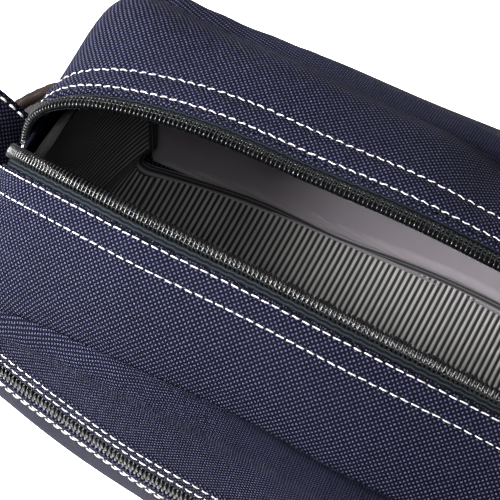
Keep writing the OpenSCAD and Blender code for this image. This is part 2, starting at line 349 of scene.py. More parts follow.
@dataclass(frozen=True)
class PlainLining:
    """Smooth warm grey lining with a fine plain weave."""

    tone: tuple[float, float, float] = (0.250, 0.222, 0.248)
    dark: tuple[float, float, float] = (0.185, 0.166, 0.185)

    def make(self) -> bpy.types.Material:
        """A fine chequer of threads over a slow change of tone."""
        paint = Paint("plain_lining")
        u, v = paint.uv()
        fine = 2.0 * np.pi / 0.0005
        threads = (u * fine).sin() * (v * fine).sin() * 0.5 + 0.5
        slow = paint.noise(30.0, 3.0)
        colour = paint.mix((slow * 0.7 + threads * 0.3), self.dark, self.tone)
        return paint.finish(colour, 0.58, threads + slow * 1.4, 0.00009, 0.6, Sheen__Weight=0.1)


@dataclass(frozen=True)
class TapeTwill:
    """Zip tape or binding: fine herringbone with lengthwise cords."""

    name: str
    light: tuple[float, float, float] = (0.022, 0.028, 0.034)
    dark: tuple[float, float, float] = (0.0006, 0.0009, 0.0015)
    cords: float = 0.0011
    twill: float = 0.0009

    def make(self) -> bpy.types.Material:
        """Cords are sines across the tape; the twill slants one way and the other between them."""
        paint = Paint(self.name)
        u, v = paint.uv()
        cord = (v * (2.0 * np.pi / self.cords)).sin() * 0.5 + 0.5
        slant = ((v * (np.pi / self.cords)).sin()).abs() * 1.3
        rib = ((u * (2.0 * np.pi / self.twill)) + slant * 3.0).sin() * 0.5 + 0.5
        fibre = paint.noise(2400.0, 2.0)
        face = (cord ** 1.5) * 0.6 + rib * 0.3 * cord + fibre * 0.12
        colour = paint.mix(face.least(1.0), self.dark, self.light)
        return paint.finish(colour, 0.8, cord * 0.7 + rib * 0.3, 0.00020, 0.8, Specular__IOR__Level=0.06)


@dataclass(frozen=True)
class CoilPlastic:
    """Black glossy monofilament of a zip's coil."""

    tone: tuple[float, float, float] = (0.0012, 0.0012, 0.0016)
    shine: tuple[float, float, float] = (0.010, 0.010, 0.012)

    def make(self) -> bpy.types.Material:
        """Nearly even black with faint drawing marks."""
        paint = Paint("zip_coil")
        marks = paint.noise(1500.0, 2.0)
        colour = paint.mix(marks * 0.5, self.tone, self.shine)
        return paint.finish(colour, 0.26 + marks * 0.08, marks, 0.00002, 0.4, Specular__IOR__Level=0.75)


@dataclass(frozen=True)
class Thread:
    """Pale top-stitching thread, twisted."""

    light: tuple[float, float, float] = (0.90, 0.86, 0.80)
    dark: tuple[float, float, float] = (0.46, 0.43, 0.42)

    def make(self) -> bpy.types.Material:
        """The twist is a slanted sine over each stitch."""
        paint = Paint("thread")
        u, v = paint.uv()
        twist = (u * (2.0 * np.pi / 0.0007) + v * 3200.0).sin() * 0.5 + 0.5
        colour = paint.mix(twist * 0.6 + 0.4, self.dark, self.light)
        return paint.finish(colour, 0.6, twist, 0.00008, 0.7, Sheen__Weight=0.2)


@dataclass(frozen=True)
class Leather:
    """Dark brown waxed leather with fine pores, redder in slow random patches where the wax pulls up."""

    deep: tuple[float, float, float] = (0.008, 0.005, 0.004)
    warm: tuple[float, float, float] = (0.032, 0.015, 0.011)

    def make(self) -> bpy.types.Material:
        """Cells for the grain, a slow noise for the pull-up of the wax."""
        paint = Paint("leather")
        grain = paint.node("ShaderNodeTexVoronoi", {"feature": "DISTANCE_TO_EDGE"},
                           Vector=paint.object_coords(), Scale=1300.0)
        cell = Socket(paint.tree, grain.outputs["Distance"]).step(0.0, 0.35)
        slow = paint.noise(70.0, 4.0)
        colour = paint.mix(slow.step(0.3, 0.75) * (cell * 0.4 + 0.6), self.deep, self.warm)
        return paint.finish(colour, 0.58 - slow * 0.2, cell + slow * 0.8, 0.00012, 0.7,
                            Specular__IOR__Level=0.3)


@dataclass(frozen=True)
class Gunmetal:
    """Dark plated zinc, brighter where fingers have rubbed it."""

    tone: tuple[float, float, float] = (0.060, 0.060, 0.066)
    rubbed: tuple[float, float, float] = (0.23, 0.225, 0.22)

    def make(self) -> bpy.types.Material:
        """Metallic, with noise in the colour and the roughness."""
        paint = Paint("gunmetal")
        slow = paint.noise(160.0, 4.0)
        fine = paint.noise(1900.0, 2.0)
        colour = paint.mix(slow.step(0.45, 0.8), self.tone, self.rubbed)
        return paint.finish(colour, 0.28 + fine * 0.2, fine, 0.00003, 0.5, Metallic=1.0)


@dataclass(frozen=True)
class Board:
    """Grey-black plastic sheet of the stiffener."""

    dark: tuple[float, float, float] = (0.02, 0.02, 0.021)
    light: tuple[float, float, float] = (0.045, 0.045, 0.047)

    def make(self) -> bpy.types.Material:
        """Faint mottling on dark plastic."""
        paint = Paint("stiffener_board")
        slow = paint.noise(120.0, 3.0)
        colour = paint.mix(slow, self.dark, self.light)
        return paint.finish(colour, 0.5, slow, 0.0001, 0.4)


@dataclass
class Finishes:
    """Every finish of the bag, made once."""

    canvas: bpy.types.Material = field(default_factory=lambda: BasketWeave().make())
    ribbed: bpy.types.Material = field(default_factory=lambda: RibbedLining().make())
    plain: bpy.types.Material = field(default_factory=lambda: PlainLining().make())
    tape: bpy.types.Material = field(default_factory=lambda: TapeTwill("zip_tape").make())
    binding: bpy.types.Material = field(default_factory=lambda: TapeTwill(
        "binding_tape", (0.30, 0.29, 0.30), (0.006, 0.006, 0.008), 0.0024, 0.0007).make())
    coil: bpy.types.Material = field(default_factory=lambda: CoilPlastic().make())
    thread: bpy.types.Material = field(default_factory=lambda: Thread().make())
    leather: bpy.types.Material = field(default_factory=lambda: Leather().make())
    metal: bpy.types.Material = field(default_factory=lambda: Gunmetal().make())
    board: bpy.types.Material = field(default_factory=lambda: Board().make())


# ------------------------------------------------------------------ meshes


def mesh_object(name: str, points: Array, faces: Array, uv: Array,
                material: bpy.types.Material) -> bpy.types.Object:
    """Make an object from points in millimetres.

    Args:
        name: the piece's name.
        points: (n, 3) places.
        faces: (m, 4) corners, the last two equal for a triangle.
        uv: (m, 4, 2) places on the cloth, in millimetres.
        material: its finish.

    Returns:
        The object, its faces turned outwards.
    """
    p = points[faces]
    volume = (np.einsum("ij,ij->i", p[:, 0], np.cross(p[:, 1], p[:, 2]))
              + np.einsum("ij,ij->i", p[:, 0], np.cross(p[:, 2], p[:, 3]))).sum()
    if volume < 0:
        faces = faces[:, ::-1]
        uv = uv[:, ::-1]
    three = faces[:, 2] == faces[:, 3]
    three_turned = faces[:, 0] == faces[:, 1]
    keep = np.ones(faces.shape, bool)
    keep[three, 3] = False
    keep[three_turned, 0] = False
    counts = keep.sum(1)
    mesh = bpy.data.meshes.new(name)
    mesh.vertices.add(len(points))
    mesh.vertices.foreach_set("co", (points * MM).astype(np.float32).ravel())
    mesh.loops.add(int(counts.sum()))
    mesh.loops.foreach_set("vertex_index", faces[keep].astype(np.int32))
    mesh.polygons.add(len(faces))
    starts = np.concatenate([[0], np.cumsum(counts)[:-1]])
    mesh.polygons.foreach_set("loop_start", starts.astype(np.int32))
    layer = mesh.uv_layers.new(name="cloth")
    layer.data.foreach_set("uv", (uv[keep] * MM).astype(np.float32).ravel())
    mesh.update(calc_edges=True)
    mesh.shade_smooth()
    mesh.materials.append(material)
    made = bpy.data.objects.new(name, mesh)
    bpy.context.scene.collection.objects.link(made)
    return made


@dataclass
class Weld:
    """Collects grids of points into one mesh."""

    points: list[Array] = field(default_factory=list)
    faces: list[Array] = field(default_factory=list)
    uvs: list[Array] = field(default_factory=list)
    count: int = 0

    def loops(self, grid: Array, uv_shift: float = 0.0) -> Weld:
        """Add tubes: closed rings of points carried along paths, each end capped with a fan round its middle.

        Args:
            grid: (tubes, stations, ring, 3) places.
            uv_shift: added to the UV's first value.

        Returns:
            Itself.
        """
        tubes, n, m, _ = grid.shape
        along = np.linalg.norm(np.diff(grid, axis=1), axis=-1).mean(2)
        u = np.concatenate([np.zeros((tubes, 1)), np.cumsum(along, 1)], 1) + uv_shift
        ring = np.concatenate([grid, grid[:, :, :1]], 2)
        round_ = np.linalg.norm(np.diff(ring, axis=2), axis=-1)
        v = np.concatenate([np.zeros((tubes, n, 1)), np.cumsum(round_, 2)], 2)
        v = v - v[:, :, m // 4][:, :, None]
        index = self.count + np.arange(tubes * n * m).reshape(tubes, n, m)
        index = np.concatenate([index, index[:, :, :1]], 2)
        a, b = index[:, :-1, :-1], index[:, 1:, :-1]
        c, d = index[:, 1:, 1:], index[:, :-1, 1:]
        self.faces.append(np.stack([a, b, c, d], -1).reshape(-1, 4))
        uu = np.broadcast_to(u[:, :, None], v.shape)
        w = np.stack([uu, v], -1)
        self.uvs.append(np.stack([w[:, :-1, :-1], w[:, 1:, :-1], w[:, 1:, 1:], w[:, :-1, 1:]],
                                 3).reshape(-1, 4, 2))
        self.points.append(grid.reshape(-1, 3))
        self.count += tubes * n * m
        for station in (0, n - 1):
            hub = self.count + np.arange(tubes)
            self.points.append(grid[:, station].mean(1))
            self.count += tubes
            one, two = index[:, station, :-1], index[:, station, 1:]
            w_one, w_two = w[:, station, :-1], w[:, station, 1:]
            if station:
                one, two = two, one
                w_one, w_two = w_two, w_one
            mid = np.broadcast_to(hub[:, None], one.shape)
            w_mid = np.broadcast_to(w[:, station, :-1].mean(1)[:, None], w_one.shape)
            self.faces.append(np.stack([one, two, mid, mid], -1).reshape(-1, 4))
            self.uvs.append(np.stack([w_one, w_two, w_mid, w_mid], 2).reshape(-1, 4, 2))
        return self

    def make(self, name: str, material: bpy.types.Material) -> bpy.types.Object:
        """Join everything into one object."""
        return mesh_object(name, np.concatenate(self.points), np.concatenate(self.faces),
                           np.concatenate(self.uvs), material)


def ease(t: Array) -> Array:
    """Smooth step from 0 to 1."""
    t = np.clip(t, 0.0, 1.0)
    return t * t * (3.0 - 2.0 * t)


def unit(v: Array) -> Array:
    """Vectors of length one."""
    return v / np.maximum(np.linalg.norm(v, axis=-1, keepdims=True), 1e-12)


def lifted(surface: Surface, u: Array, v: Array, out: Array, facing: float = 1.0,
           steps: tuple[float, float] = (0.002, 0.3)) -> Array:
    """Points off a surface, along its own normal.

    Args:
        surface: places for two parameters.
        u: first parameter.
        v: second parameter.
        out: distance along the normal.
        facing: 1 or -1, the side of the surface that is outside.
        steps: small changes of u and v for the slopes.

    Returns:
        The places.
    """
    u, v, out = np.broadcast_arrays(u, v, out)
    along = surface(u + steps[0], v) - surface(u - steps[0], v)
    down = surface(u, v + steps[1]) - surface(u, v - steps[1])
    return surface(u, v) + unit(np.cross(along, down)) * (out * facing)[..., None]


def band_profile(v0: float, v1: float, low: float, high: float, steps: int) -> tuple[Array, Array]:
    """A flat strip's closed outline with round edges, as (place across, height) pairs.

    The upper face runs from v0 to v1 at height high, a half circle joins it to the lower face at height low.
    """
    r = (high - low) / 2.0
    mid = (high + low) / 2.0
    turn = np.linspace(np.pi / 2, -np.pi / 2, 5)[1:-1]
    top = np.linspace(v0 + r, v1 - r, steps)
    across = np.concatenate([top, v1 - r + r * np.cos(turn), top[::-1], v0 + r - r * np.cos(turn)])
    height = np.concatenate([np.full(steps, high), mid + r * np.sin(turn),
                             np.full(steps, low), mid - r * np.sin(turn)])
    return across, height


def sheet_profile(across: Array, high: float, low: float) -> tuple[Array, Array]:
    """A thin sheet's closed outline: the upper face one way and the lower face back."""
    height = np.concatenate([np.full_like(across, high), np.full_like(across, low)], -1)
    return np.concatenate([across, across[..., ::-1]], -1), height


def coil_turns(turns: int, pitch: float, per_turn: int = 12) -> tuple[Array, Array, Array]:
    """Places round a flattened helix of monofilament.

    Args:
        turns: whole turns.
        pitch: advance in one turn.
        per_turn: places in one turn.

    Returns:
        The advance, and places from -1 to 1 across and above the tape. The first half of a turn takes up only
        0.15 of the pitch, so the upper strokes lie nearly square to the tape.
    """
    k = np.arange(turns * per_turn + 1)
    phase = (k % per_turn) / per_turn
    step = np.where(phase < 0.5, phase * 0.30, 0.15 + (phase - 0.5) * 1.70)
    c, d = np.cos(2 * np.pi * phase), np.sin(2 * np.pi * phase)
    return (k // per_turn + step) * pitch, np.sign(c) * np.abs(c) ** 0.75, np.sign(d) * np.abs(d) ** 0.7


def tube_rings(path: Array, side: Array, radius: float | Array, count: int = 6,
               squash: float = 1.0) -> Array:
    """Rings of points round paths.

    Args:
        path: (tubes, stations, 3) places.
        side: (tubes, stations, 3) directions that are never along the path.
        radius: radius of the rings.
        count: points in a ring.
        squash: thickness over width.

    Returns:
        (tubes, stations, ring, 3) places.
    """
    tangent = unit(np.gradient(path, axis=1))
    one = unit(np.cross(tangent, side))
    two = np.cross(one, tangent)
    turn = np.linspace(0, 2 * np.pi, count, endpoint=False)
    r = np.asarray(radius)[..., None, None] if np.ndim(radius) else radius
    return (path[:, :, None] + r * np.cos(turn)[:, None] * one[:, :, None] * squash
            + r * np.sin(turn)[:, None] * two[:, :, None])


def stitch_grid(surface: Surface, starts: Array, across: Array | float, span: float, facing: float,
                height: float, radius: float = 0.30, steps: tuple[float, float] = (0.002, 0.3),
                along_u: bool = True, scale: float = 1.0) -> Array:
    """Rings of a row of stitches lying on a surface, each diving into the cloth at its ends.

    Args:
        surface: the cloth.
        starts: parameter at the middle of each stitch.
        across: the other parameter, one number or one per stitch.
        span: length of a stitch in millimetres.
        facing: which side is outside.
        height: how far the thread's middle stands over the surface.
        radius: radius of the thread.
        steps: small changes for the slopes.
        along_u: whether the row runs along the surface's first parameter.
        scale: millimetres for each unit of the row's parameter.

    Returns:
        (stitches, stations, ring, 3) places.
    """
    tau = np.linspace(-0.5, 0.5, 7)
    rise = height - (radius + height + 0.25) * np.abs(2 * tau) ** 5
    place = starts[:, None] + span / scale * tau
    other = np.broadcast_to(np.asarray(across, float).reshape(-1, 1), place.shape)
    pair = (place, other) if along_u else (other, place)
    lift = np.broadcast_to(rise, place.shape)
    path = lifted(surface, *pair, lift, facing, steps)
    above = lifted(surface, *pair, lift + 1.0, facing, steps) - path
    return tube_rings(path, above, radius, 6, 1.15)


# ------------------------------------------------------------------ the bag's form


@dataclass(frozen=True)
class Form:
    """The bag's soft shape in millimetres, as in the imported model, with the sag and dents of real cloth."""

    mouth_half: float = 127.0
    mouth_z: float = 83.0
    mouth_rise: float = 44.5
    tilt: float = np.radians(18.0)
    seam_half: float = 124.0
    seam_z: float = 64.0
    seam_rise: float = 43.0
    belly: float = 66.5
    belly_z: float = 52.0
    wall_rise: float = 75.0
    plan_r: float = 600.0
    end_puff: float = 5.0
    arch_n: float = 2.6
    wall_n: float = 2.3
    puff: float = 2.2
    inset: float = 2.6
    soften: float = 15.0
    rows: tuple[tuple[float, float], tuple[float, float]] = ((7.3, 13.3), (8.8, 15.1))
    pushes: tuple[tuple[tuple[float, float, float], tuple[float, float, float],
                        tuple[float, float, float]], ...] = (
        ((2.0, 42.0, 112.0), (17.0, 13.0, 26.0), (0.0, -2.0, -5.5)),
        ((48.0, -40.0, 111.0), (42.0, 17.0, 26.0), (0.0, 2.5, -6.0)),
        ((-70.0, -40.0, 108.0), (40.0, 18.0, 24.0), (0.0, -1.0, 2.0)),
        ((-60.0, 40.0, 112.0), (36.0, 18.0, 24.0), (0.0, 1.0, 1.8)),
    )

    def across(self, a: Array) -> Array:
        """Superellipse arch, sideways: the sine of the angle to the power 2 over n, with its sign."""
        return np.sign(a) * np.abs(np.sin(a)) ** (2 / self.arch_n)

    def up(self, a: Array) -> Array:
        """Superellipse arch, upwards: the cosine of the angle to the power 2 over n."""
        return np.abs(np.cos(a)) ** (2 / self.arch_n)

    def section(self, z: Array) -> Array:
        """Depth of the long walls in the middle: a superellipse about the belly's height."""
        t = np.clip(np.abs(z - self.belly_z) / self.wall_rise, 0, 0.999)
        return self.belly * (1 - t ** self.wall_n) ** (1 / self.wall_n)

    def bow(self, x: Array) -> Array:
        """How far the long walls fall back from their middle: a circle in plan."""
        return self.plan_r - np.sqrt(self.plan_r ** 2 - x * x)

    def depth(self, x: Array, z: Array) -> Array:
        """Depth of the long walls at a place."""
        return self.section(z) - self.bow(x)

    def half_length(self, z: Array) -> Array:
        """Half length of the long walls at a height: the seam's arch above, a slight tuck below."""
        t = np.clip((z - self.seam_z) / self.seam_rise, 0, 1)
        above = self.seam_half * (1 - t ** self.arch_n) ** (1 / self.arch_n)
        below = self.seam_half - 5 * ((self.seam_z - z) / self.seam_z) ** 2
        return np.where(z > self.seam_z, above, below)

    def seam_top(self, x: Array) -> Array:
        """Height of the seam between wall and top, along the length."""
        t = np.clip(np.abs(x) / self.seam_half, 0, 1)
        return self.seam_z + self.seam_rise * (1 - t ** self.arch_n) ** (1 / self.arch_n)

    def edge_of_wall(self, x: Array, z: Array) -> Array:
        """Distance from a place on a long wall to its nearest seam, at the top, the sides or the bottom."""
        t = np.clip((z - self.seam_z) / self.seam_rise, 0, 2)
        s = np.abs(x) / self.seam_half
        level = (s ** self.arch_n + t ** self.arch_n) ** (1 / self.arch_n)
        gx = (s / np.maximum(level, 1e-6)) ** (self.arch_n - 1) / self.seam_half
        gz = (t / np.maximum(level, 1e-6)) ** (self.arch_n - 1) / self.seam_rise
        arch = (1 - level) / np.maximum(np.hypot(gx, gz), 1e-6)
        side = np.where(z > self.seam_z, arch, self.half_length(z) - np.abs(x))
        return np.maximum(np.minimum(side, z), 0)

    def soft(self, e: Array) -> Array:
        """How far a surface falls back towards a seam, from nothing at the softening distance."""
        return self.inset * np.clip(1 - e / self.soften, 0, 1) ** 2.4

    def slump(self, p: Array) -> Array:
        """Cloth's own unevenness: a push is a vector times a Gaussian of the distance, over slow ripples."""
        moved = p.copy()
        for centre, size, push in self.pushes:
            fall = np.exp(-(((p - np.array(centre)) / np.array(size)) ** 2).sum(-1))
            moved += fall[..., None] * np.array(push)
        x, y, z = p[..., 0], p[..., 1], p[..., 2]
        calm = np.clip((110 - np.abs(x)) / 60, 0, 1)
        ripple = (0.7 * np.sin(x / 23.0 + 0.6 * np.sign(y)) + 0.45 * np.sin(x / 11.0 + z / 17.0 + 2.0)) * calm
        rear = ease((y - 20.0) / 22.0)
        moved[..., 1] += 5.5 * rear * ease((z - 12.0) / 50.0)
        corner = np.exp(-((np.abs(x) - 126.0) / 30.0) ** 2)
        moved[..., 2] += 14.0 * corner * ease((y - 18.0) / 26.0) * ease((z - 38.0) / 26.0)
        moved[..., 1] += np.sign(y) * ripple * np.clip(np.abs(y) / 30, 0, 1) * 0.8
        moved[..., 2] += 0.6 * ripple * np.clip((z - 60) / 40, 0, 1)
        return moved

    def wall(self, side: Side) -> Surface:
        """A long wall: a place for a length and a height."""

        def place(x: Array, z: Array) -> Array:
            """The depth there, less what it falls back near a seam, plus the rolled ridge of the seam."""
            x, z = np.broadcast_arrays(x, z)
            e = self.edge_of_wall(x, z)
            pucker = 1 + 0.28 * np.sin(x / 1.9 + 1.3 * np.sin(x / 9.0)) * np.exp(-e / 4)
            ridge = 1.5 * np.exp(-((e - 3.6) / 2.4) ** 2) * pucker - 1.2 * np.exp(-(e / 1.2) ** 2)
            y = (self.depth(x, z) - self.soft(e) + ridge) * side.value
            shrink = 1 - self.inset / self.seam_half
            return self.slump(np.stack([x * shrink, y, z - self.inset * np.clip((z - 75) / 35, 0, 1)], -1))

        return place

    def end_edge(self, y: Array) -> Array:
        """Height of the top panels' lower ends on an end wall."""
        return self.mouth_z - (self.mouth_z - self.seam_z) * np.clip(np.abs(y) / 53.0, 0, 1)

    def end_wall(self, end: End) -> Surface:
        """An end wall: a place for a share of its half width and a height."""

        def place(share: Array, z: Array) -> Array:
            """Half length plus the puff, less what it falls back near upright seams and under the top."""
            share, z = np.broadcast_arrays(share, z)
            low = np.minimum(z, self.seam_z)
            half = self.depth(self.seam_half, low) - self.inset
            y = share * half
            e = half * (1 - np.abs(share))
            swell = self.end_puff * (1 - ((z - 45) / 60) ** 2) * (1 - share ** 2)
            ridge = 1.2 * np.exp(-((e - 3.6) / 2.4) ** 2) - 1.0 * np.exp(-(e / 1.2) ** 2)
            under = 2.0 / (1 + np.exp(-(z - self.end_edge(y)) / 0.8))
            fall = self.soft(np.minimum(e, z)) + self.inset * np.clip(1 - e / 20, 0, 1)
            x = self.half_length(low) + swell - fall * 0.6 + ridge - under
            return self.slump(np.stack([x * end.value, y, z], -1))

        return place


@dataclass(frozen=True)
class Arch:
    """One half of the top: from its zip row out to the seam with the long wall."""

    form: Form
    side: Side
    count: int = 1200

    def table(self) -> tuple[Array, Array]:
        """Angles and the distance along the row at each."""
        a = np.linspace(-np.pi / 2, np.pi / 2, self.count)
        p = self.row(a)
        run = np.concatenate([[0], np.cumsum(np.linalg.norm(np.diff(p, axis=0), axis=-1))])
        return a, run

    def length(self) -> float:
        """Length of the row, in millimetres."""
        return float(self.table()[1][-1])

    def row(self, a: Array) -> Array:
        """The zip row: a superellipse arch in a plane tilted outwards about the line between its corners."""
        f = self.form
        rise = f.mouth_rise * f.up(a)
        return np.stack([f.mouth_half * f.across(a), self.side.value * rise * np.sin(f.tilt),
                         f.mouth_z + rise * np.cos(f.tilt)], -1)

    def seam(self, a: Array) -> Array:
        """The seam with the wall, drawn in by the softening."""
        f = self.form
        x = f.seam_half * f.across(a)
        z = f.seam_z + f.seam_rise * f.up(a)
        y = (f.depth(x, z) - f.inset - 1.2) * self.side.value
        return np.stack([x * (1 - f.inset / f.seam_half), y, z - f.inset * np.clip((z - 75) / 35, 0, 1)], -1)

    def surface(self) -> Surface:
        """The cloth: a place for a distance along the row and a distance out from it."""
        angles, run = self.table()
        f = self.form

        def place(s: Array, d: Array) -> Array:
            """Straight from row to seam, swollen by a parabola and drawn in where it is stitched."""
            s, d = np.broadcast_arrays(s, d)
            a = np.interp(np.clip(s, 0, run[-1]), run, angles)
            low, high = self.row(a), self.seam(a)
            width = np.linalg.norm(high - low, axis=-1)
            t = d / width
            nx = np.sign(a) * np.abs(f.across(a)) ** (f.arch_n - 1) / f.mouth_half
            nz = f.up(a) ** (f.arch_n - 1) / f.mouth_rise
            normal = unit(np.stack([nx, 0.515 * self.side.value * nz, 0.857 * nz], -1))
            edge = f.inset * 0.9 * t * (1 - np.clip((t - 0.62) / 0.38, 0, 1) ** 2.2)
            tuck = 0.0
            for stitched in f.rows[self.side.value > 0]:
                dent = 0.34 + 0.16 * np.cos(2 * np.pi * s / 3.4)
                tuck = tuck + dent * np.exp(-((d - stitched) / 1.3) ** 2)
            quilt = 0.35 * np.exp(-((d - 12) / 2.2) ** 2)
            swell = 4 * f.puff * t * (1 - t) + edge - tuck + quilt
            p = low + (high - low) * t[..., None] + normal * swell[..., None]
            return f.slump(p)

        return place

    def across_to(self, share: Array, s: Array, start: float) -> Array:
        """Distance out from the row at a share of the way from start to the seam."""
        angles, run = self.table()
        a = np.interp(np.clip(s, 0, run[-1]), run, angles)
        width = np.linalg.norm(self.seam(a) - self.row(a), axis=-1)
        return start + (width - start) * share


# ------------------------------------------------------------------ pieces


def strip(surface: Surface, stations: Array, profile: tuple[Array, Array], facing: float,
          steps: tuple[float, float] = (0.002, 0.3), across_first: bool = False) -> Array:
    """A closed profile carried along a surface.

    Args:
        surface: the cloth that the profile lies on.
        stations: first parameter, one per ring.
        profile: places across and heights of the outline; (ring,) each, or (stations, ring) places.
        facing: which side is outside.
        steps: small changes for the slopes.
        across_first: whether the surface's first parameter runs across the strip.

    Returns:
        (1, stations, ring, 3) places.
    """
    across, height = profile
    along = np.broadcast_to(stations[:, None], (len(stations), across.shape[-1]))
    across = np.broadcast_to(across, along.shape)
    height = np.broadcast_to(height, along.shape)
    pair = (across, along) if across_first else (along, across)
    return lifted(surface, *pair, height, facing, steps)[None]


@dataclass
class TopHalf:
    """One half of the top: outer cloth, facing, zip tape, coil and two rows of top-stitching."""

    form: Form
    side: Side
    finishes: Finishes
    fold: float = 6.3
    cloth: float = 1.0
    hem: float = 1.9
    tape_from: float = 0.7
    tape_to: float = 13.0
    coil_middle: float = 2.05
    coil_reach: float = 1.75
    coil_height: float = 0.85
    coil_pitch: float = 1.3
    wire: float = 0.30
    stitch: float = 2.92
    stations: int = 420
    blend_from: float = 15.5
    blend_to: float = 39.0

    def __post_init__(self) -> None:
        """Work out the row's length and the names."""
        self.arch = Arch(self.form, self.side)
        self.place = self.arch.surface()
        self.length = self.arch.length()
        self.word = self.side.name.lower()
        self.facing = float(self.side.value)

    def bind(self, piece: bpy.types.Object, nodes: Sequence[str] = ()) -> None:
        """Bake the piece's transform into its points and hide the imported nodes that it stands for."""
        tilt = self.form.tilt
        away = np.array([0.0, self.side.value * np.cos(tilt), -np.sin(tilt)])
        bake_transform(piece)
        if nodes:
            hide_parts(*nodes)

    def cloth_profile(self, s: Array) -> tuple[Array, Array]:
        """Outline across the panel: a thick folded hem at the zip, thin cloth, and a turn into the seam."""
        share = np.concatenate([np.linspace(0, 0.22, 16), np.linspace(0.22, 1.0, 34)[1:]])
        across = self.arch.across_to(share[None], s[:, None], self.fold)
        hem = self.hem * np.clip(1 - (across - self.fold - 8.5) / 1.5, 0, 1)
        hem = np.maximum(hem, self.cloth)
        turn = np.linspace(np.pi / 2, 3 * np.pi / 2, 7)[1:-1]
        round_ = self.hem / 2
        nose = (self.fold + round_ + round_ * np.cos(turn))[None].repeat(len(s), 0)
        nose_h = (-round_ + round_ * np.sin(turn))[None].repeat(len(s), 0)
        upper = across.copy()
        upper[:, 0] = self.fold + round_
        lower = upper[:, ::-1]
        high = np.zeros_like(upper)
        return (np.concatenate([upper, lower, nose[:, ::-1]], 1),
                np.concatenate([high, -hem[:, ::-1], nose_h[:, ::-1]], 1))

    def panel(self) -> bpy.types.Object:
        """Outer cloth from its folded hem to the seam."""
        s = np.linspace(0.05, self.length - 0.05, self.stations)
        made = Weld().loops(strip(self.place, s, self.cloth_profile(s), self.facing, ROW_STEPS))
        piece = made.make(f"{self.word}_top_cloth", self.finishes.canvas)
        self.bind(piece, [f"{self.word}_top_panel"])
        return piece

    def lining(self) -> bpy.types.Object:
        """Facing under the outer cloth."""
        s = np.linspace(1.0, self.length - 1.0, 160)
        share = np.linspace(0.04, 0.93, 24)
        across = self.arch.across_to(share[None], s[:, None], self.fold)
        made = Weld().loops(strip(self.place, s, sheet_profile(across, -2.5, -3.2), self.facing, ROW_STEPS))
        piece = made.make(f"{self.word}_top_facing", self.finishes.plain)
        self.bind(piece, [f"{self.word}_facing"])
        return piece

    def tape(self) -> bpy.types.Object:
        """Zip tape between the coil and the hem."""
        s = np.linspace(0.3, self.length - 0.3, 300)
        profile = band_profile(self.tape_from, self.tape_to, -1.95, -1.35, 14)
        made = Weld().loops(strip(self.place, s, profile, self.facing, ROW_STEPS))
        piece = made.make(f"{self.word}_tape", self.finishes.tape)
        self.bind(piece, [f"{self.word}_zip_tape"])
        return piece

    def coil(self) -> bpy.types.Object:
        """Helix of monofilament: straight strokes over the tape, its pitch taken up underneath."""
        run, wide, high = coil_turns(int(self.length / self.coil_pitch) - 1, self.coil_pitch, 14)
        s = run + 0.8
        across = self.coil_middle + self.coil_reach * wide
        height = -1.25 + self.coil_height * (1 + high) * 0.92
        path = lifted(self.place, s, across, height, self.facing, ROW_STEPS)[None]
        ahead = lifted(self.place, s + 0.5, across, height, self.facing, ROW_STEPS)[None] - path
        helix = Weld().loops(tube_rings(path, ahead, self.wire, 6))
        piece = helix.make(f"{self.word}_coil_wire", self.finishes.coil)
        self.bind(piece, [f"{self.word}_coil"])
        return piece

    def coil_thread(self) -> bpy.types.Object:
        """Dark thread that sews the coil down, in two chained lines over it."""
        starts = np.arange(1.6, self.length - 2, self.coil_pitch)
        made = Weld()
        for across in (self.coil_middle - 0.1, self.coil_middle + 0.95):
            made.loops(stitch_grid(self.place, starts, across, 1.25, self.facing, 0.36, 0.15, ROW_STEPS))
        piece = made.make(f"{self.word}_coil_thread", self.finishes.coil)
        self.bind(piece)
        return piece

    def stitches(self) -> bpy.types.Object:
        """Two rows of pale top-stitching along the zip."""
        starts = np.arange(self.stitch, self.length - self.stitch, self.stitch)
        paths = Weld()
        for row, shift in zip(self.form.rows[self.side.value > 0], (0.0, 1.3)):
            jitter = 0.16 * np.sin(starts * 12.9 + row) + 0.1 * np.sin(starts * 3.1)
            made = stitch_grid(self.place, starts + shift, row + jitter * 0.6, 2.66, self.facing, 0.09, 0.165,
                               ROW_STEPS)
            paths.loops(made)
        piece = paths.make(f"{self.word}_top_stitches", self.finishes.thread)
        self.bind(piece)
        return piece

    def build(self) -> None:
        """Every piece of this half."""
        for make in (self.panel, self.lining, self.tape, self.coil, self.coil_thread, self.stitches):
            log.info("%s", make().name)


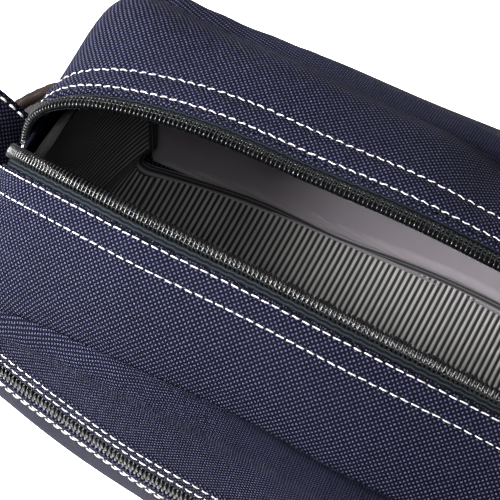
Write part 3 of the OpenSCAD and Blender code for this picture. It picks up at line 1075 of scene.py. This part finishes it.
@dataclass
class Walls:
    """The outer walls and bottom: front in two parts round the pocket zip, back, ends and bottom."""

    form: Form
    finishes: Finishes
    cloth: float = 1.0
    pocket_z: float = 71.0
    pocket_gap: float = 5.0
    pocket_half: float = 115.5
    top: float = 106.9
    bottom_edge: float = 0.4

    def dress(self, piece: bpy.types.Object, slot: str, nodes: Sequence[str] = (),
              body: str = "shell") -> bpy.types.Object:
        """Ride on a body, the shell unless another is named, hide the nodes that the piece stands for and log
        its name.
        """
        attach(piece, body)
        if nodes:
            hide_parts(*nodes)
        log.info("%s", piece.name)
        return piece

    def wall_rows(self, side: Side, top: float, bottom: float, rows: int, stations: int, thick: float,
                  out: float = 0.0, inset: float = 0.0) -> Array:
        """A closed sheet on a long wall whose sides follow the seams, as rings of constant height.

        Args:
            side: which wall.
            top: highest place.
            bottom: lowest place.
            rows: number of heights.
            stations: places along each height.
            thick: thickness of the cloth.
            out: height of its outer face over the wall.
            inset: how far its sides stay from the seams.

        Returns:
            (1, rows, ring, 3) places.
        """
        lift = np.sin(np.linspace(0, np.pi / 2, rows))
        z = bottom + (top - bottom) * lift
        share = np.sin(np.linspace(-np.pi / 2, np.pi / 2, stations) * 0.999)
        x = share * (self.form.half_length(z)[:, None] - inset)
        return strip(self.form.wall(side), z, sheet_profile(x, out, out - thick), float(-side.value),
                     FLAT_STEPS, True)

    def back(self) -> None:
        """Back wall in one sheet, up to the seam."""
        grid = self.wall_rows(Side.REAR, self.top, self.bottom_edge, 110, 150, self.cloth)
        self.dress(Weld().loops(grid).make("back_cloth", self.finishes.canvas), "navy_canvas", ["back_panel"])

    def front(self) -> None:
        """Front wall below the pocket zip, and the strip above it up to the seam."""
        low, high = self.pocket_z - self.pocket_gap, self.pocket_z + self.pocket_gap
        grid = self.wall_rows(Side.FRONT, low, self.bottom_edge, 90, 150, self.cloth)
        self.dress(Weld().loops(grid).make("front_cloth_lower", self.finishes.canvas), "navy_canvas",
                   ["front_panel_lower"])
        grid = self.wall_rows(Side.FRONT, self.top, high, 60, 150, self.cloth)
        self.dress(Weld().loops(grid).make("front_cloth_upper", self.finishes.canvas), "navy_canvas",
                   ["front_panel_upper"])
        for end in End:
            z = np.linspace(low, high, 14)
            x = end.value * (self.pocket_half + (self.form.half_length(z)[:, None] - self.pocket_half)
                             * np.linspace(0, 0.9995, 10))
            grid = strip(self.form.wall(Side.FRONT), z, sheet_profile(x, 0.0, -self.cloth), 1.0,
                         FLAT_STEPS, True)
            self.dress(Weld().loops(grid).make(f"pocket_end_{end.name.lower()}", self.finishes.canvas),
                       "navy_canvas")

    def ends(self) -> None:
        """End walls, tucked under the lower ends of the top."""
        for end in End:
            surface = self.form.end_wall(end)
            z = self.bottom_edge + 88.0 * np.sin(np.linspace(0, np.pi / 2, 80))
            over = np.clip((z - self.form.seam_z) / (self.form.mouth_z + 6 - self.form.seam_z), 0, 1)
            width = 1 - over * 0.86
            share = np.sin(np.linspace(-np.pi / 2, np.pi / 2, 60) * 0.999) * width[:, None]
            grid = strip(surface, z, sheet_profile(share, 0.0, -self.cloth), float(end.value),
                         SHARE_STEPS, True)
            name = end.name.lower()
            self.dress(Weld().loops(grid).make(f"{name}_end_cloth", self.finishes.canvas), "navy_canvas",
                       [f"{name}_end_panel"])

    def bottom(self) -> None:
        """Bottom: rings shrinking from the seam to the middle, with a rolled edge."""
        form = self.form
        turn = np.linspace(0, 2 * np.pi, 240, endpoint=False)
        c, s = np.cos(turn), np.sin(turn)
        x0 = form.half_length(np.array(0.0)) - form.inset
        cx = np.sign(c) * np.abs(c) ** 0.32 * x0
        cy = np.sign(s) * np.abs(s) ** 0.32 * (form.depth(cx, np.zeros_like(cx)) - form.inset)
        rim = np.stack([cx, cy], -1)
        rings = [(0.02, 1.2), (0.5, 1.2), (0.97, 1.2), (1.0, 1.5), (1.004, 1.0), (0.995, 0.4), (0.97, 0.0),
                 (0.93, 0.05), (0.5, 0.25), ROW_STEPS]
        grid = np.stack([np.concatenate([rim * share, np.full((len(rim), 1), z)], 1) for share, z in rings])
        self.dress(Weld().loops(grid[None]).make("bottom_cloth", self.finishes.canvas), "navy_canvas",
                   ["bottom_panel"])

    def build(self) -> None:
        """All the walls."""
        self.back()
        self.front()
        self.ends()
        self.bottom()


@dataclass
class Interior:
    """Lining: ribbed floor and ends, plain long walls, bindings over the inner seams, stiffener and pouch."""

    walls: Walls
    finishes: Finishes
    floor: float = 4.6
    depth: dict[Side, float] = field(default_factory=lambda: {Side.FRONT: 5.6, Side.REAR: 2.6})
    corner: float = 11.0
    end_top: float = 80.0
    end_gap: float = 4.6
    end_points: int = 60
    floor_half: float = 108.0
    inner_half: float = 121.0
    curl: float = 1.2

    def long_walls(self) -> None:
        """Plain lining of the front and the rear."""
        for side in Side:
            grid = self.walls.wall_rows(side, top=100.0, bottom=self.floor, rows=70, stations=120, thick=0.7,
                                        out=-self.depth[side], inset=5.0)
            word = side.name.lower()
            piece = Weld().loops(grid).make(f"{word}_wall_lining", self.finishes.plain)
            self.walls.dress(piece, "plain_lining", [f"{word}_lining"])

    def path(self) -> tuple[Array, Array, Array]:
        """Side view of the ribbed strip: down the left end, along the floor, up the right end.

        Returns:
            Run, X and Z of its points; the lower corners are quarter circles.
        """
        form = self.walls.form
        r = self.corner
        z = np.linspace(self.end_top, self.floor + r, self.end_points)
        puffed = form.end_puff * (1 - ((z - 45) / 60) ** 2)
        x = form.half_length(np.minimum(z, form.seam_z)) + puffed - self.end_gap
        turn = np.linspace(0, np.pi / 2, 16)[1:]
        cx = x[-1] - r + r * np.cos(turn)
        cz = self.floor + r - r * np.sin(turn)
        left_x = -np.concatenate([x, cx])
        left_z = np.concatenate([z, cz])
        flat = np.linspace(left_x[-1], -left_x[-1], 80)[1:-1]
        xs = np.concatenate([left_x, flat, -left_x[::-1]])
        zs = np.concatenate([left_z, np.full(len(flat), self.floor), left_z[::-1]])
        run = np.concatenate([[0], np.cumsum(np.hypot(np.diff(xs), np.diff(zs)))])
        return run, xs, zs

    def trough(self) -> Surface:
        """The ribbed strip: a place for a run along it and a share of its half width."""
        form = self.walls.form
        run, xs, zs = self.path()

        def place(s: Array, share: Array) -> Array:
            """On the side view's path, as wide as the space between the long walls, its edges curled up."""
            s, share = np.broadcast_arrays(s, share)
            s = np.clip(s, 0, run[-1])
            x, z = np.interp(s, run, xs), np.interp(s, run, zs)
            out = np.abs(x)
            inner = form.depth(np.minimum(out, self.inner_half), np.maximum(z, 4.0))
            inner = inner - form.soft(self.inner_half - out)
            upright = np.clip((z - self.floor) / 12, 0, 1)
            clear = 2.0 + 1.1 * (1 - upright)
            front, rear = inner - self.depth[Side.FRONT] - clear, inner - self.depth[Side.REAR] - clear
            y = np.where(share < 0, share * front, share * rear)
            curl = self.curl * np.clip(np.abs(share), 0, 1) ** 8
            wave = 0.5 * np.sin(x / 13.0 + y / 21.0) * (1 - np.clip((z - 6) / 20, 0, 1))
            narrow = np.sign(x) * upright * 9.0 * share ** 2
            return form.slump(np.stack([x - narrow, y, z + (curl + wave) * (1 - upright)], -1))

        return place

    def ribbed_strip(self) -> None:
        """Ribbed lining of the ends and the floor, its ribs running on from one to the next."""
        run, xs, _ = self.path()
        total = run[-1]
        lower = slice(self.end_points, self.end_points + 80)
        joint = float(np.interp(-self.floor_half, xs[lower], run[lower]))
        place = self.trough()
        profile = sheet_profile(np.linspace(-1, 1, 40), 0.0, -0.7)
        spans = (("left_end_ribbing", 0.0, joint, "left_end_lining"),
                 ("floor_ribbing", joint, total - joint, "floor_lining"),
                 ("right_end_ribbing", total - joint, total, "right_end_lining"))
        for name, low, top, node in spans:
            s = np.linspace(low, top, 120)
            grid = strip(place, s, profile, 1.0, STRIP_STEPS)
            piece = Weld().loops(grid, uv_shift=low).make(name, self.finishes.ribbed)
            self.walls.dress(piece, "ribbed_lining", [node])

    def bindings(self) -> None:
        """Bound seam allowances: a folded tape down each end's corner and along the floor, front and rear."""
        run, _, _ = self.path()
        place = self.trough()
        s = np.linspace(6.0, run[-1] - 6.0, 420)
        for side in Side:
            edge = place(s, np.full_like(s, side.value * 0.985))
            inner = place(s, np.full_like(s, side.value * 0.80))
            ahead = unit(np.gradient(edge, axis=0))
            inward = unit(inner - edge)
            up = unit(np.cross(inward, ahead)) * (1.0 if side is Side.FRONT else -1.0)
            lean = np.radians(38 + 16 * np.sin(s / 19.0) + 9 * np.sin(s / 7.3 + 1.0))[:, None]
            fin = inward * np.cos(lean) + up * np.sin(lean)
            thick = np.cross(fin, ahead)
            across, height = band_profile(-1.3, 5.2, -0.75, 0.75, 9)
            height = height * (1 + 0.3 * (np.abs(across - 2.0) > 2.4))
            grid = edge[:, None] + fin[:, None] * across[:, None] + thick[:, None] * height[:, None]
            word = side.name.lower()
            piece = Weld().loops(grid[None]).make(f"{word}_binding", self.finishes.binding)
            self.walls.dress(piece, "binding_tape",
                             [f"{word}_floor_binding", f"{word}_left_binding", f"{word}_right_binding"])

    def pouch_and_board(self) -> None:
        """Pocket's inner bag behind the front, and the stiffener under the floor lining."""
        grid = self.walls.wall_rows(Side.FRONT, top=61.0, bottom=14.0, rows=30, stations=60, thick=0.5,
                                    out=-4.6, inset=12.0)
        self.walls.dress(Weld().loops(grid).make("pocket_bag", self.finishes.plain), "plain_lining",
                         ["pocket_pouch"])
        repaint(frame_node("base_stiffener"), self.finishes.board)

    def build(self) -> None:
        """All the lining."""
        self.long_walls()
        self.ribbed_strip()
        self.bindings()
        self.pouch_and_board()


def frame_node(name: str) -> bpy.types.Object:
    """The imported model's own object for a node."""
    return FRAME["nodes"][name]


def repaint(node: bpy.types.Object, material: bpy.types.Material) -> None:
    """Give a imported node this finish."""
    node.data.materials.clear()
    node.data.materials.append(material)


@dataclass
class PocketZip:
    """The closed zip of the front pocket: two tapes, two meshed coils and the rows of stitching round it."""

    walls: Walls
    finishes: Finishes
    half: float = 115.0
    pitch: float = 1.30
    wire: float = 0.33
    end_gap: float = 2.0
    stitch: float = 2.9
    rows: tuple[tuple[float, float], ...] = ((7.6, 0.0), (11.2, 1.7), (-7.0, 0.6), (-9.0, 2.3))

    def surface(self) -> Surface:
        """The front wall: a place for a length and a height over the zip's middle."""
        wall = self.walls.form.wall(Side.FRONT)
        middle = self.walls.pocket_z

        def place(x: Array, up: Array) -> Array:
            """The same wall, with the height counted from the zip."""
            return wall(x, np.asarray(up) + middle)

        return place

    def tapes(self) -> None:
        """Two tapes behind the folded edges."""
        place = self.surface()
        x = np.linspace(-self.half, self.half, 200)
        for word, low, high in (("upper", 0.5, 7.0), ("lower", -8.6, -0.5)):
            grid = strip(place, x, band_profile(low, high, -1.85, -1.3, 8), 1.0, FLAT_STEPS)
            piece = Weld().loops(grid).make(f"pocket_tape_{word}_cloth", self.finishes.tape)
            self.walls.dress(piece, "zip_tape", [f"pocket_tape_{word}"])

    def chain(self) -> None:
        """Two coils meshed at the middle, half a pitch apart."""
        place = self.surface()
        run, wide, high = coil_turns(int(2 * (self.half - self.end_gap) / self.pitch), self.pitch)
        for word, way in (("upper", 1.0), ("lower", -1.0)):
            x = -self.half + self.end_gap + run + (self.pitch / 2 if way < 0 else 0.0)
            up = way * (1.15 + 1.55 * wide)
            out = -1.15 + 0.75 * (1 + high)
            path = lifted(place, x, up, out, 1.0, FLAT_STEPS)[None]
            ahead = lifted(place, x + 0.4, up, out, 1.0, FLAT_STEPS)[None] - path
            helix = Weld().loops(tube_rings(path, ahead, self.wire, 6))
            piece = helix.make(f"pocket_wire_{word}", self.finishes.coil)
            self.walls.dress(piece, "zip_coil", [f"pocket_coil_{word}"])

    def hems(self) -> None:
        """Folded edges of the cloth above and below the zip, a little proud of the panel."""
        place = self.surface()
        x = np.linspace(-self.half - 1.5, self.half + 1.5, 260)
        for word, low, high in (("upper", 4.6, 13.4), ("lower", -11.2, -4.6)):
            across, height = band_profile(low, high, -0.7, 0.0, 12)
            outer = high if low > 0 else low
            fade = np.clip(np.abs(across - outer) / 1.6, 0, 1) ** 0.5
            swell = 0.55 * fade * (height > -0.35) - 0.1
            grid = strip(place, x, (across, height + swell), 1.0, FLAT_STEPS)
            piece = Weld().loops(grid).make(f"pocket_hem_{word}", self.finishes.canvas)
            self.walls.dress(piece, "navy_canvas")

    def stitches(self) -> None:
        """Rows of pale stitching above and below the zip."""
        place = self.surface()
        made = Weld()
        starts = np.arange(-self.half, self.half, self.stitch)
        for up, shift in self.rows:
            jitter = 0.12 * np.sin(starts * 2.3 + up)
            made.loops(stitch_grid(place, starts + shift, up + jitter, 2.60, 1.0, 0.62, 0.18, FLAT_STEPS))
        self.walls.dress(made.make("pocket_stitches", self.finishes.thread), "thread")

    def stops(self) -> None:
        """Metal stops at both ends of the chain."""
        repaint(frame_node("pocket_stops"), self.finishes.metal)

    def build(self) -> None:
        """The whole zip."""
        self.tapes()
        self.chain()
        self.hems()
        self.stitches()
        self.stops()


@dataclass
class ZipEnds:
    """Cloth tabs over both ends of the main zip, and the closed stretch of chain on the right end."""

    walls: Walls
    finishes: Finishes
    width: float = 28.0
    length: float = 21.0
    thick: float = 2.4
    narrower: float = 7.0
    stitch: float = 3.3
    pitch: float = 1.6
    turns: int = 15

    def tab_surface(self, end: End) -> Surface:
        """A tab's middle sheet: a place for a run out from its root and a place across."""
        form = self.walls.form
        left = end is End.LEFT

        def place(run: Array, y: Array) -> Array:
            """The left tab stands out and up, easing over; the right one lies down the end wall."""
            run, y = np.broadcast_arrays(run, y)
            if left:
                lean = np.radians(58) - 0.012 * run
                x = -(form.mouth_half + 2.2 + run * np.cos(lean) + 0.8 * (y / self.width) ** 2 * run / 8)
                z = form.mouth_z - 5.0 + run * np.sin(lean) - 0.0015 * y * y * run / 10
            else:
                x = form.mouth_half + 3.5 + 0.03 * run + 0.0 * y
                z = form.mouth_z - 28.6 - run
            return np.stack([x, y, z], -1)

        return place

    def tabs(self) -> None:
        """Folded cloth tabs with a row of stitching inside their edges."""
        for end in End:
            node = f"{end.name.lower()}_zip_tab"
            place = self.tab_surface(end)
            wide = self.width - (self.narrower if end is End.LEFT else 0.0)
            run = np.linspace(0.0, self.length, 40)
            edge = self.thick / 2
            across, height = band_profile(-wide / 2, wide / 2, -edge, edge, 24)
            round_off = np.clip((self.length - run) / 1.6, 0, 1)
            close = np.sqrt(np.clip(1 - (1 - round_off) ** 2, 0.02, 1))[:, None]
            grid = strip(place, run, (np.broadcast_to(across, (40, len(across))) * (0.97 + 0.03 * close),
                                      height * close), 1.0, FLAT_STEPS)
            piece = Weld().loops(grid).make(f"{node}_cloth", self.finishes.canvas)
            self.walls.dress(piece, "navy_canvas", [node])
            sewn = Weld()
            for facing in (1.0, -1.0):
                starts = np.arange(2.5, self.length - 2.5, self.stitch)
                for y in (-wide / 2 + 2.2, wide / 2 - 2.2):
                    sewn.loops(stitch_grid(place, starts, y, 2.8, facing, edge + 0.16, 0.3, FLAT_STEPS))
                starts = np.arange(-wide / 2 + 3.8, wide / 2 - 2.5, self.stitch)
                sewn.loops(stitch_grid(place, starts, self.length - 2.4, 2.8, facing, edge + 0.16, 0.3,
                                       FLAT_STEPS, False))
            self.walls.dress(sewn.make(f"{node}_stitches", self.finishes.thread), "thread")

    def closed_stretch(self) -> None:
        """Tape and meshed coils below the slider's resting place."""
        form = self.walls.form
        x0 = form.mouth_half + 3.3
        z = np.linspace(form.mouth_z + 1.0, form.mouth_z - 27, 60)
        across, height = band_profile(-10.5, 10.5, 0.0, 0.5, 20)
        grid = np.stack([np.broadcast_to(x0 + height, (60, len(across))),
                         np.broadcast_to(across, (60, len(across))),
                         np.broadcast_to(z[:, None], (60, len(across)))], -1)[None]
        self.walls.dress(Weld().loops(grid).make("closed_zip_tape", self.finishes.tape), "zip_tape",
                         ["closed_tape"])
        wires = Weld()
        fall, sideways, high = coil_turns(self.turns, self.pitch)
        for way in (1.0, -1.0):
            down = form.mouth_z - 1.0 - fall - (self.pitch / 2 if way < 0 else 0.0)
            y = way * (1.3 + 1.32 * sideways)
            x = x0 + 0.5 + 0.7 + 0.4 * high
            path = np.stack([x, y, down], -1)[None]
            ahead = np.broadcast_to(np.array([0.0, 0.0, -1.0]), path.shape)
            wires.loops(tube_rings(path, ahead, 0.29, 6))
        self.walls.dress(wires.make("closed_chain_wire", self.finishes.coil), "zip_coil", ["closed_chain"])
        repaint(frame_node("bottom_stop"), self.finishes.metal)

    def build(self) -> None:
        """Tabs and the closed stretch."""
        self.tabs()
        self.closed_stretch()


@dataclass
class Handle:
    """Leather carry strap on the left end, stitched round its edge and held by two lugs."""

    walls: Walls
    finishes: Finishes
    centre_x: float = -101.0
    radius: float = 48.0
    thick: float = 3.6
    width: float = 19.0
    middle_z: float = 45.0
    reach: float = 0.90
    taper: float = 0.18
    tip: float = 0.24
    lug_from: float = 33.0
    lug_to: float = 48.0
    lug_half: float = 9.5
    lug_thick: float = 1.4

    def surface(self) -> Surface:
        """The strap's middle sheet: a place for an angle round its bend and a height across it."""

        def place(turn: Array, up: Array) -> Array:
            """A circle in plan that eases on to the bag's corners at both ends."""
            turn, up = np.broadcast_arrays(turn, up)
            x = self.centre_x - self.radius * np.cos(turn)
            y = self.radius * np.sin(turn)
            return np.stack([x, y, self.middle_z + up], -1)

        return place

    def strap(self) -> None:
        """Strap with rounded edges, tapered and thinned where it is sewn in."""
        place = self.surface()
        turn = np.linspace(-self.reach, self.reach, 160)
        across, height = band_profile(-self.width / 2, self.width / 2, -self.thick / 2, self.thick / 2, 14)
        ends = np.clip((self.reach - np.abs(turn)) / self.taper, 0.0, 1)[:, None]
        narrow = self.tip + (1 - self.tip) * ends
        grid = strip(place, turn, (across * narrow, height * (0.75 + 0.25 * ends)), 1.0, BEND_STEPS)
        piece = Weld().loops(grid).make("handle_leather", self.finishes.leather)
        self.walls.dress(piece, "leather", ["handle_strap"], "handle")
        sewn = Weld()
        starts = np.arange(-0.70, 0.68, 3.3 / self.radius)
        for facing in (1.0, -1.0):
            for up in (-self.width / 2 + 2.0, self.width / 2 - 2.0):
                sewn.loops(stitch_grid(place, starts, up, 2.6, facing, self.thick / 2 + 0.05, 0.26,
                                       BEND_STEPS, True, self.radius))
        self.walls.dress(sewn.make("handle_stitches", self.finishes.leather), "leather", (), "handle")

    def lugs(self) -> None:
        """Leather patches on the end wall that hold the strap's ends."""
        wall = self.walls.form.end_wall(End.LEFT)
        half = self.walls.form.depth(self.walls.form.seam_half, self.middle_z)
        for side in Side:
            word = side.name.lower()
            low, high = sorted((side.value * self.lug_from / half, side.value * self.lug_to / half))
            share = np.linspace(low, high, 24)
            rim = np.clip(np.minimum(share - low, high - share) * half / 2.0, 0, 1)[:, None]
            across, height = band_profile(-self.lug_half, self.lug_half, 0.1, self.lug_thick, 10)
            round_off = 0.86 + 0.14 * np.sqrt(rim)
            grid = strip(wall, share, (self.middle_z + across * round_off, height * (0.6 + 0.4 * rim)), -1.0,
                         SHARE_STEPS)
            self.walls.dress(Weld().loops(grid).make(f"{word}_lug_leather", self.finishes.leather), "leather",
                             [f"{word}_handle_lug"])
            sewn = Weld()
            for z in (self.middle_z - 7.6, self.middle_z + 7.6):
                starts = np.arange(low + 2.6 / half, high - 2.0 / half, 3.0 / half)
                sewn.loops(stitch_grid(wall, starts, z, 2.5, -1.0, 1.42, 0.2, SHARE_STEPS, True, half))
            for place in (low + 1.7 / half, high - 1.7 / half):
                starts = np.arange(self.middle_z - 6, self.middle_z + 6.5, 3.0)
                sewn.loops(stitch_grid(wall, starts, place, 2.5, -1.0, 1.42, 0.2, SHARE_STEPS, False))
            self.walls.dress(sewn.make(f"{word}_lug_stitches", self.finishes.thread), "thread")

    def build(self) -> None:
        """Strap and lugs."""
        self.strap()
        self.lugs()


@dataclass
class Hardware:
    """Sliders and pullers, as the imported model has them, with rounded edges."""

    finishes: Finishes
    nodes: tuple[str, ...] = ("main_slider", "main_puller", "pocket_slider", "pocket_puller")
    bevel: float = 0.28
    sharp: float = np.radians(35)

    def build(self) -> None:
        """Copy each node, which rides on the body of the same name, then round its edges and plate it."""
        for node in self.nodes:
            piece = frame_node(node).copy()
            piece.data = piece.data.copy()
            piece.name = f"{node}_plated"
            piece.parent = None
            bpy.context.scene.collection.objects.link(piece)
            self.round_edges(piece)
            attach(piece, node)
            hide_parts(node)
            log.info("%s", piece.name)

    def round_edges(self, piece: bpy.types.Object) -> None:
        """Merge doubles, dissolve flat faces and bevel the sharp edges."""
        mesh = bmesh.new()
        mesh.from_mesh(piece.data)
        bmesh.ops.remove_doubles(mesh, verts=mesh.verts, dist=1e-6)
        bmesh.ops.dissolve_limit(mesh, angle_limit=0.02, verts=mesh.verts, edges=mesh.edges)
        mesh.to_mesh(piece.data)
        mesh.free()
        repaint(piece, self.finishes.metal)
        edge = piece.modifiers.new("round", "BEVEL")
        edge.width = self.bevel * MM
        edge.segments = 2
        edge.limit_method = "ANGLE"
        edge.angle_limit = self.sharp
        piece.data.shade_smooth()


# ------------------------------------------------------------------ stage


@dataclass(frozen=True)
class Lamp:
    """A soft square lamp: its place and its aim in metres, its side, its power in watts and its spread."""

    name: str
    place: tuple[float, float, float]
    aim: tuple[float, float, float]
    size: float
    power: float
    spread: float

    def hang(self) -> None:
        """Add the lamp, facing its aim."""
        data = bpy.data.lights.new(self.name, "AREA")
        data.size = self.size
        data.energy = self.power
        data.spread = np.radians(self.spread)
        lamp = bpy.data.objects.new(self.name, data)
        lamp.location = self.place
        lamp.rotation_mode = "QUATERNION"
        lamp.rotation_quaternion = (Vector(self.aim) - Vector(self.place)).to_track_quat("-Z", "Y")
        bpy.context.scene.collection.objects.link(lamp)


@dataclass
class Studio:
    """Pale floor, soft lights and the camera."""

    azimuth: float = 28.35
    elevation: float = 69.2
    distance: float = 0.523
    sensor: float = 36.0
    lens: float = 137.808
    surround: float = 0.04
    floor_radius: float = 2600.0
    lamps: tuple[Lamp, ...] = (
        Lamp("key", (-0.58, -0.26, 0.62), (-0.13, -0.02, 0.1), 0.26, 1.12, 30.0),
        Lamp("top", (0.02, -0.28, 1.0), (0.02, 0.04, 0.05), 0.4, 0.22, 34.0),
        Lamp("rear", (-0.5, 0.6, 0.5), (-0.06, 0.0, 0.08), 0.4, 0.30, 80.0),
    )
    target: tuple[float, float, float] = (-0.0559, 0.0032, 0.083)

    def camera(self) -> None:
        """Camera over the front, right of the middle, looking down at the open mouth's left half."""
        a, e = np.radians(self.azimuth), np.radians(self.elevation)
        back = np.array([np.sin(a) * np.cos(e), -np.cos(a) * np.cos(e), np.sin(e)])
        data = bpy.data.cameras.new("camera")
        data.sensor_width = self.sensor
        data.lens = self.lens
        data.clip_start, data.clip_end = 0.01, 20.0
        made = bpy.data.objects.new("camera", data)
        made.location = np.array(self.target) + back * self.distance
        made.rotation_mode = "QUATERNION"
        made.rotation_quaternion = Vector(-back).to_track_quat("-Z", "Y")
        bpy.context.scene.collection.objects.link(made)
        bpy.context.scene.camera = made

    def floor(self) -> None:
        """A pale floor disc under the bag."""
        turn = np.linspace(0, 2 * np.pi, 64, endpoint=False)
        rim = np.stack([np.cos(turn), np.sin(turn)], -1)
        top, underside = -0.6, -20.0
        rings = [(0.01, top), (self.floor_radius, top), (self.floor_radius, underside), (0.01, underside)]
        grid = np.stack([np.concatenate([rim * r, np.full((64, 1), z)], 1) for r, z in rings])[None]
        paint = Paint("floor")
        paint.shader.inputs["Base Color"].default_value = (0.93, 0.93, 0.93, 1)
        paint.shader.inputs["Roughness"].default_value = 0.85
        paint.shader.inputs["Emission Color"].default_value = (1, 1, 1, 1)
        paint.shader.inputs["Emission Strength"].default_value = 0.92
        floor = Weld().loops(grid).make("floor", paint.material)

    def lights(self) -> None:
        """The lamps and a dim surround, which the camera sees as white."""
        world = bpy.data.worlds.new("studio")
        world.use_nodes = True
        tree = world.node_tree
        background = tree.nodes["Background"]
        background.inputs[0].default_value = (1, 1, 1, 1)
        seen = tree.nodes.new("ShaderNodeBackground")
        seen.inputs[0].default_value = (1, 1, 1, 1)
        rays = tree.nodes.new("ShaderNodeLightPath")
        both = tree.nodes.new("ShaderNodeMixShader")
        tree.links.new(rays.outputs["Is Camera Ray"], both.inputs[0])
        tree.links.new(background.outputs[0], both.inputs[1])
        tree.links.new(seen.outputs[0], both.inputs[2])
        tree.links.new(both.outputs[0], tree.nodes["World Output"].inputs[0])
        background.inputs[1].default_value = self.surround
        bpy.context.scene.world = world
        bpy.context.scene.view_settings.view_transform = "Standard"
        for lamp in self.lamps:
            lamp.hang()

    def build(self) -> None:
        """Camera, floor and lights."""
        self.camera()
        self.floor()
        self.lights()


def main() -> None:
    """Build the bag piece by piece, then the stage."""
    logging.basicConfig(level=logging.INFO, format="%(message)s")
    FRAME.update(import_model())
    form = Form()
    finishes = Finishes()
    walls = Walls(form, finishes)
    walls.build()
    Interior(walls, finishes).build()
    for side in Side:
        TopHalf(form, side, finishes).build()
    PocketZip(walls, finishes).build()
    ZipEnds(walls, finishes).build()
    Handle(walls, finishes).build()
    Hardware(finishes).build()
    Studio().build()


if __name__ == "__main__":
    main()
